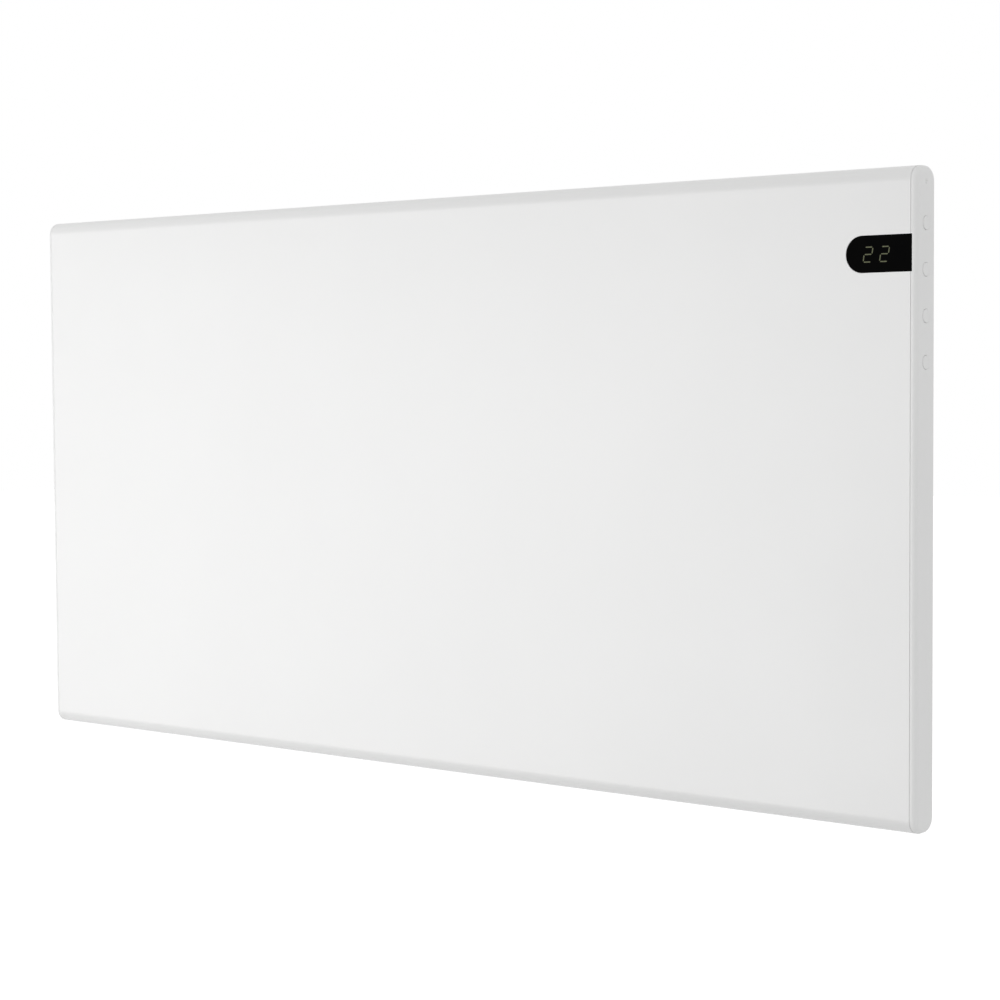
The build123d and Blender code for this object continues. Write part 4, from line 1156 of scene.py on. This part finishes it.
def mixed(mask, one, two):
    """From colour one to colour two as the mask rises from 0 to 1."""
    return near("Mix", {0: mask, 6: one, 7: two}, data_type="RGBA").outputs[2]


def shaded(level, colour):
    """A colour, darker or lighter by a level."""
    return near("VectorMath", {0: colour, "Scale": level}, operation="SCALE").outputs[0]


def raised(shader, height, depth):
    """Bump from heights of 0 to 1, with a depth in millimetres."""
    bump = near("Bump", {"Height": height, "Distance": depth * MM, "Strength": 1.0})
    link(bump.outputs[0], shader["Normal"])


# %% [markdown]
# ## White paint and white plastic
#
# The panel and the tray have the same baked enamel: a very slight orange peel and a satin gloss. The
# end caps are moulded in a matching white, with the fine spark texture of the mould, so they look
# a little more matt. Both are nearly neutral, as in the photograph. Paint and plastic share one
# recipe, which the small moulded pieces use too: a tone and a gloss that drift slowly, a grain in
# the bump, a little dust and, on plastic that rubs, lighter edges.

# %% White finishes
dust_grey = (0.42, 0.40, 0.37, 1.0)
wear_width = 0.35


def grained_finish(name, colour, gloss, grain_size, grain_depth, tone=(14.0, 0.9, 1.06),
                   patch=(6.0, 0.05), dust_amount=0.2, edge=1.5):
    """A painted or moulded skin. The tone drifts over a size in mm between two levels, and the
    gloss over a size by an amount. Worn edges are edge times the colour, or None."""
    place, shader = finish(name)
    size, low, high = tone
    skin = shaded(part_of(tone_drift, place, Size=size, Low=low, High=high), colour)
    if edge:
        lighter = tuple(min(c * edge + 0.01, 0.95) for c in colour) + (1.0,)
        skin = mixed(part_of(edge_wear, place, Width=wear_width), skin, lighter)
    dust = part_of(settled_dust, place, Amount=dust_amount)
    link(mixed(dust, skin, dust_grey), shader["Base Color"])
    size, amount = patch
    patches = part_of(tone_drift, place, Size=size, Low=gloss - amount, High=gloss + amount)
    link(maths("ADD", patches, dust), shader["Roughness"])
    raised(shader, part_of(mould_grain, place, Size=grain_size), grain_depth)


large_and_clean = {"tone": (110.0, 0.985, 1.0), "patch": (35.0, 0.03), "dust_amount": 0.05, "edge": None}
grained_finish("white_paint", (0.872, 0.872, 0.868), 0.32, 1.6, 0.003, **large_and_clean)
grained_finish("cap_plastic", (0.872, 0.874, 0.870), 0.50, 0.34, 0.008, **large_and_clean)
print("made", " and ".join(finishes))

# %% [markdown]
# ## Display and lamp
#
# The window is tinted so dark that it looks black even where it is lit, and its gloss is faint, with
# a few smears. The digits are seen through it, so they are a dim olive, and only a little of it is
# light of their own. The lamp's guide is clear plastic with a frosted tip.

# %% Display finishes
place, shader = finish("window_black", specular_ior_level=0.008)
smear = part_of(tone_drift, place, Size=9.0, Low=0.0, High=1.0)
link(mixed(smear, (0.0004, 0.0004, 0.0005, 1), (0.0010, 0.0010, 0.0009, 1)), shader["Base Color"])
link(spread(smear, 0.0, 1.0, 0.09, 0.20), shader["Roughness"])
raised(shader, part_of(mould_grain, place, Size=6.0), 0.0015)

place, shader = finish("digit_glow", specular_ior_level=0.1, roughness=0.5, emission_strength=0.04)
glow = part_of(tone_drift, place, Size=1.2, Low=0.75, High=1.0)
link(shaded(glow, (0.135, 0.140, 0.085)), shader["Base Color"])
link(shaded(glow, (0.56, 0.62, 0.30)), shader["Emission Color"])

place, shader = finish("light_clear", ior=1.49, transmission_weight=0.12)
frost = part_of(mould_grain, place, Size=0.25)
link(mixed(frost, (0.86, 0.87, 0.86, 1), (0.93, 0.93, 0.92, 1)), shader["Base Color"])
link(spread(frost, 0.3, 1.1, 0.25, 0.5), shader["Roughness"])
raised(shader, frost, 0.01)
print(len(finishes), "finishes so far")

# %% [markdown]
# ## Metals
#
# The bracket, the hinge ears, the heat shield and the baffle are galvanised sheet, whose crystals
# differ in level and in gloss. The fasteners are zinc plated: smoother, with a trace of yellow.

# %% Zinc finishes
place, shader = finish("zinc_steel", metallic=1.0)
crystal = part_of(zinc_spangle, place, "Level", Size=6.0)
crystal_seam = part_of(zinc_spangle, place, "Seam", Size=6.0)
worn = part_of(edge_wear, place, Width=0.5)
dust = part_of(settled_dust, place, Amount=0.25)
frosted = part_of(mould_grain, place, Size=1.1)
feathered = maths("ADD", maths("MULTIPLY", crystal, 0.7), spread(frosted, 0.4, 1.0, -0.1, 0.4))
sheet_tone = mixed(feathered, (0.53, 0.545, 0.56, 1), (0.66, 0.675, 0.685, 1))
sheet_tone = mixed(maths("MULTIPLY", crystal_seam, 0.3), sheet_tone, (0.50, 0.515, 0.53, 1))
sheet_tone = mixed(worn, sheet_tone, (0.74, 0.75, 0.75, 1))
link(mixed(dust, sheet_tone, dust_grey), shader["Base Color"])
link(maths("ADD", spread(feathered, 0.0, 1.0, 0.32, 0.46), dust), shader["Roughness"])
raised(shader, maths("ADD", maths("MULTIPLY", crystal_seam, 0.4), frosted), 0.006)

place, shader = finish("fastener_steel", metallic=1.0)
plating = part_of(tone_drift, place, Size=2.5, Low=0.0, High=1.0)
worn = part_of(edge_wear, place, Width=0.3)
plated = mixed(plating, (0.60, 0.60, 0.57, 1), (0.70, 0.69, 0.62, 1))
link(mixed(worn, plated, (0.80, 0.80, 0.79, 1)), shader["Base Color"])
link(spread(plating, 0.0, 1.0, 0.22, 0.36), shader["Roughness"])
raised(shader, part_of(mould_grain, place, Size=0.5), 0.006)
print(len(finishes), "finishes so far")

# %% [markdown]
# The element is bare aluminium with lines from the die. Its steel sheath has lines too, and has been
# heated, so it has a warm tint.

# %% Drawn metals
def drawn_finish(name, line_size, stain_size, one, two, rough, dulling, depth):
    """A drawn metal: lines in the roughness, from rough[0] to rough[1], and in the bump, and a
    slow stain from colour one to colour two, which also adds to the roughness."""
    place, shader = finish(name, metallic=1.0)
    lines = part_of(drawn_lines, place, Size=line_size)
    stain = part_of(tone_drift, place, Size=stain_size, Low=0.0, High=1.0)
    link(mixed(stain, one, two), shader["Base Color"])
    scratched = spread(lines, 0.3, 0.7, *rough)
    link(maths("ADD", scratched, maths("MULTIPLY", stain, dulling)), shader["Roughness"])
    raised(shader, lines, depth)


drawn_finish("element_aluminium", 0.55, 22.0, (0.62, 0.62, 0.61, 1), (0.74, 0.74, 0.73, 1),
             (0.28, 0.46), 0.06, 0.02)
drawn_finish("sheath_steel", 0.3, 30.0, (0.42, 0.36, 0.30, 1), (0.50, 0.44, 0.33, 1),
             (0.30, 0.45), 0.0, 0.01)
print(len(finishes), "finishes so far")

# %% [markdown]
# ## Plastics, rubber and ceramic
#
# The small moulded pieces take the recipe of the white plastic, with shorter patches, more dust and
# edges that have worn lighter. Each has its own grain and gloss: rubber is coarse and matt, the gland
# is shinier nylon, and the ceramic bushes have a rough skin.

# %% Moulded finishes
grained_finish("part_black", (0.020, 0.020, 0.022), 0.42, 0.25, 0.010)
grained_finish("part_white", (0.74, 0.73, 0.69), 0.45, 0.30, 0.010, edge=1.1)
grained_finish("part_blue", (0.03, 0.10, 0.30), 0.36, 0.30, 0.008)
grained_finish("lock_plastic", (0.72, 0.72, 0.70), 0.44, 0.40, 0.014, edge=1.08)
grained_finish("gland_plastic", (0.68, 0.68, 0.66), 0.36, 0.45, 0.010, edge=1.08)
grained_finish("bumper_rubber", (0.018, 0.018, 0.018), 0.72, 0.60, 0.030, edge=1.3, dust_amount=0.4)
grained_finish("bush_ceramic", (0.78, 0.75, 0.68), 0.60, 0.35, 0.020, edge=1.05)
print(len(finishes), "finishes so far")

# %% [markdown]
# ## Circuit boards
#
# A board is green lacquer over copper tracks. Cells that are measured along the axes, rather than
# as the crow flies, have straight borders at right angles and at 45 degrees, which is how tracks
# run. The tracks stand up a little through the lacquer, and tinned pads sit between them.

# %% Boards
place, shader = finish("board_green")
pattern = {"Vector": place, "Scale": 0.22}
nearest = near("TexVoronoi", pattern, distance="MANHATTAN")
second = near("TexVoronoi", pattern, distance="MANHATTAN", feature="F2")
border = maths("SUBTRACT", second.outputs["Distance"], nearest.outputs["Distance"])
track = spread(border, 0.10, 0.14, 1.0, 0.0)
pads = part_of(flecks, place, Size=3.0, Share=0.45)
lacquer = mixed(track, (0.010, 0.110, 0.040, 1), (0.022, 0.190, 0.075, 1))
link(mixed(pads, lacquer, (0.55, 0.55, 0.52, 1)), shader["Base Color"])
link(pads, shader["Metallic"])
link(spread(part_of(mould_grain, place, Size=1.2), 0.3, 1.1, 0.22, 0.38), shader["Roughness"])
raised(shader, maths("ADD", track, pads), 0.035)
print("made board_green")

# %% [markdown]
# ## Giving out the finishes
#
# Every piece takes the finish of its slot. A CAD node that still shows gets it too, in its own
# material slots. Only the digits have a finish of their own.

# %% Finishes onto pieces
named_finish = {"temperature_digits": "digit_glow"}
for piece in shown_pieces():
    slot = piece.get("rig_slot") or piece.material_slots[0].material.name
    chosen = finishes[named_finish.get(piece.name, slot)]
    if not piece.material_slots:
        piece.data.materials.append(chosen)
    for material_slot in piece.material_slots:
        material_slot.material = chosen
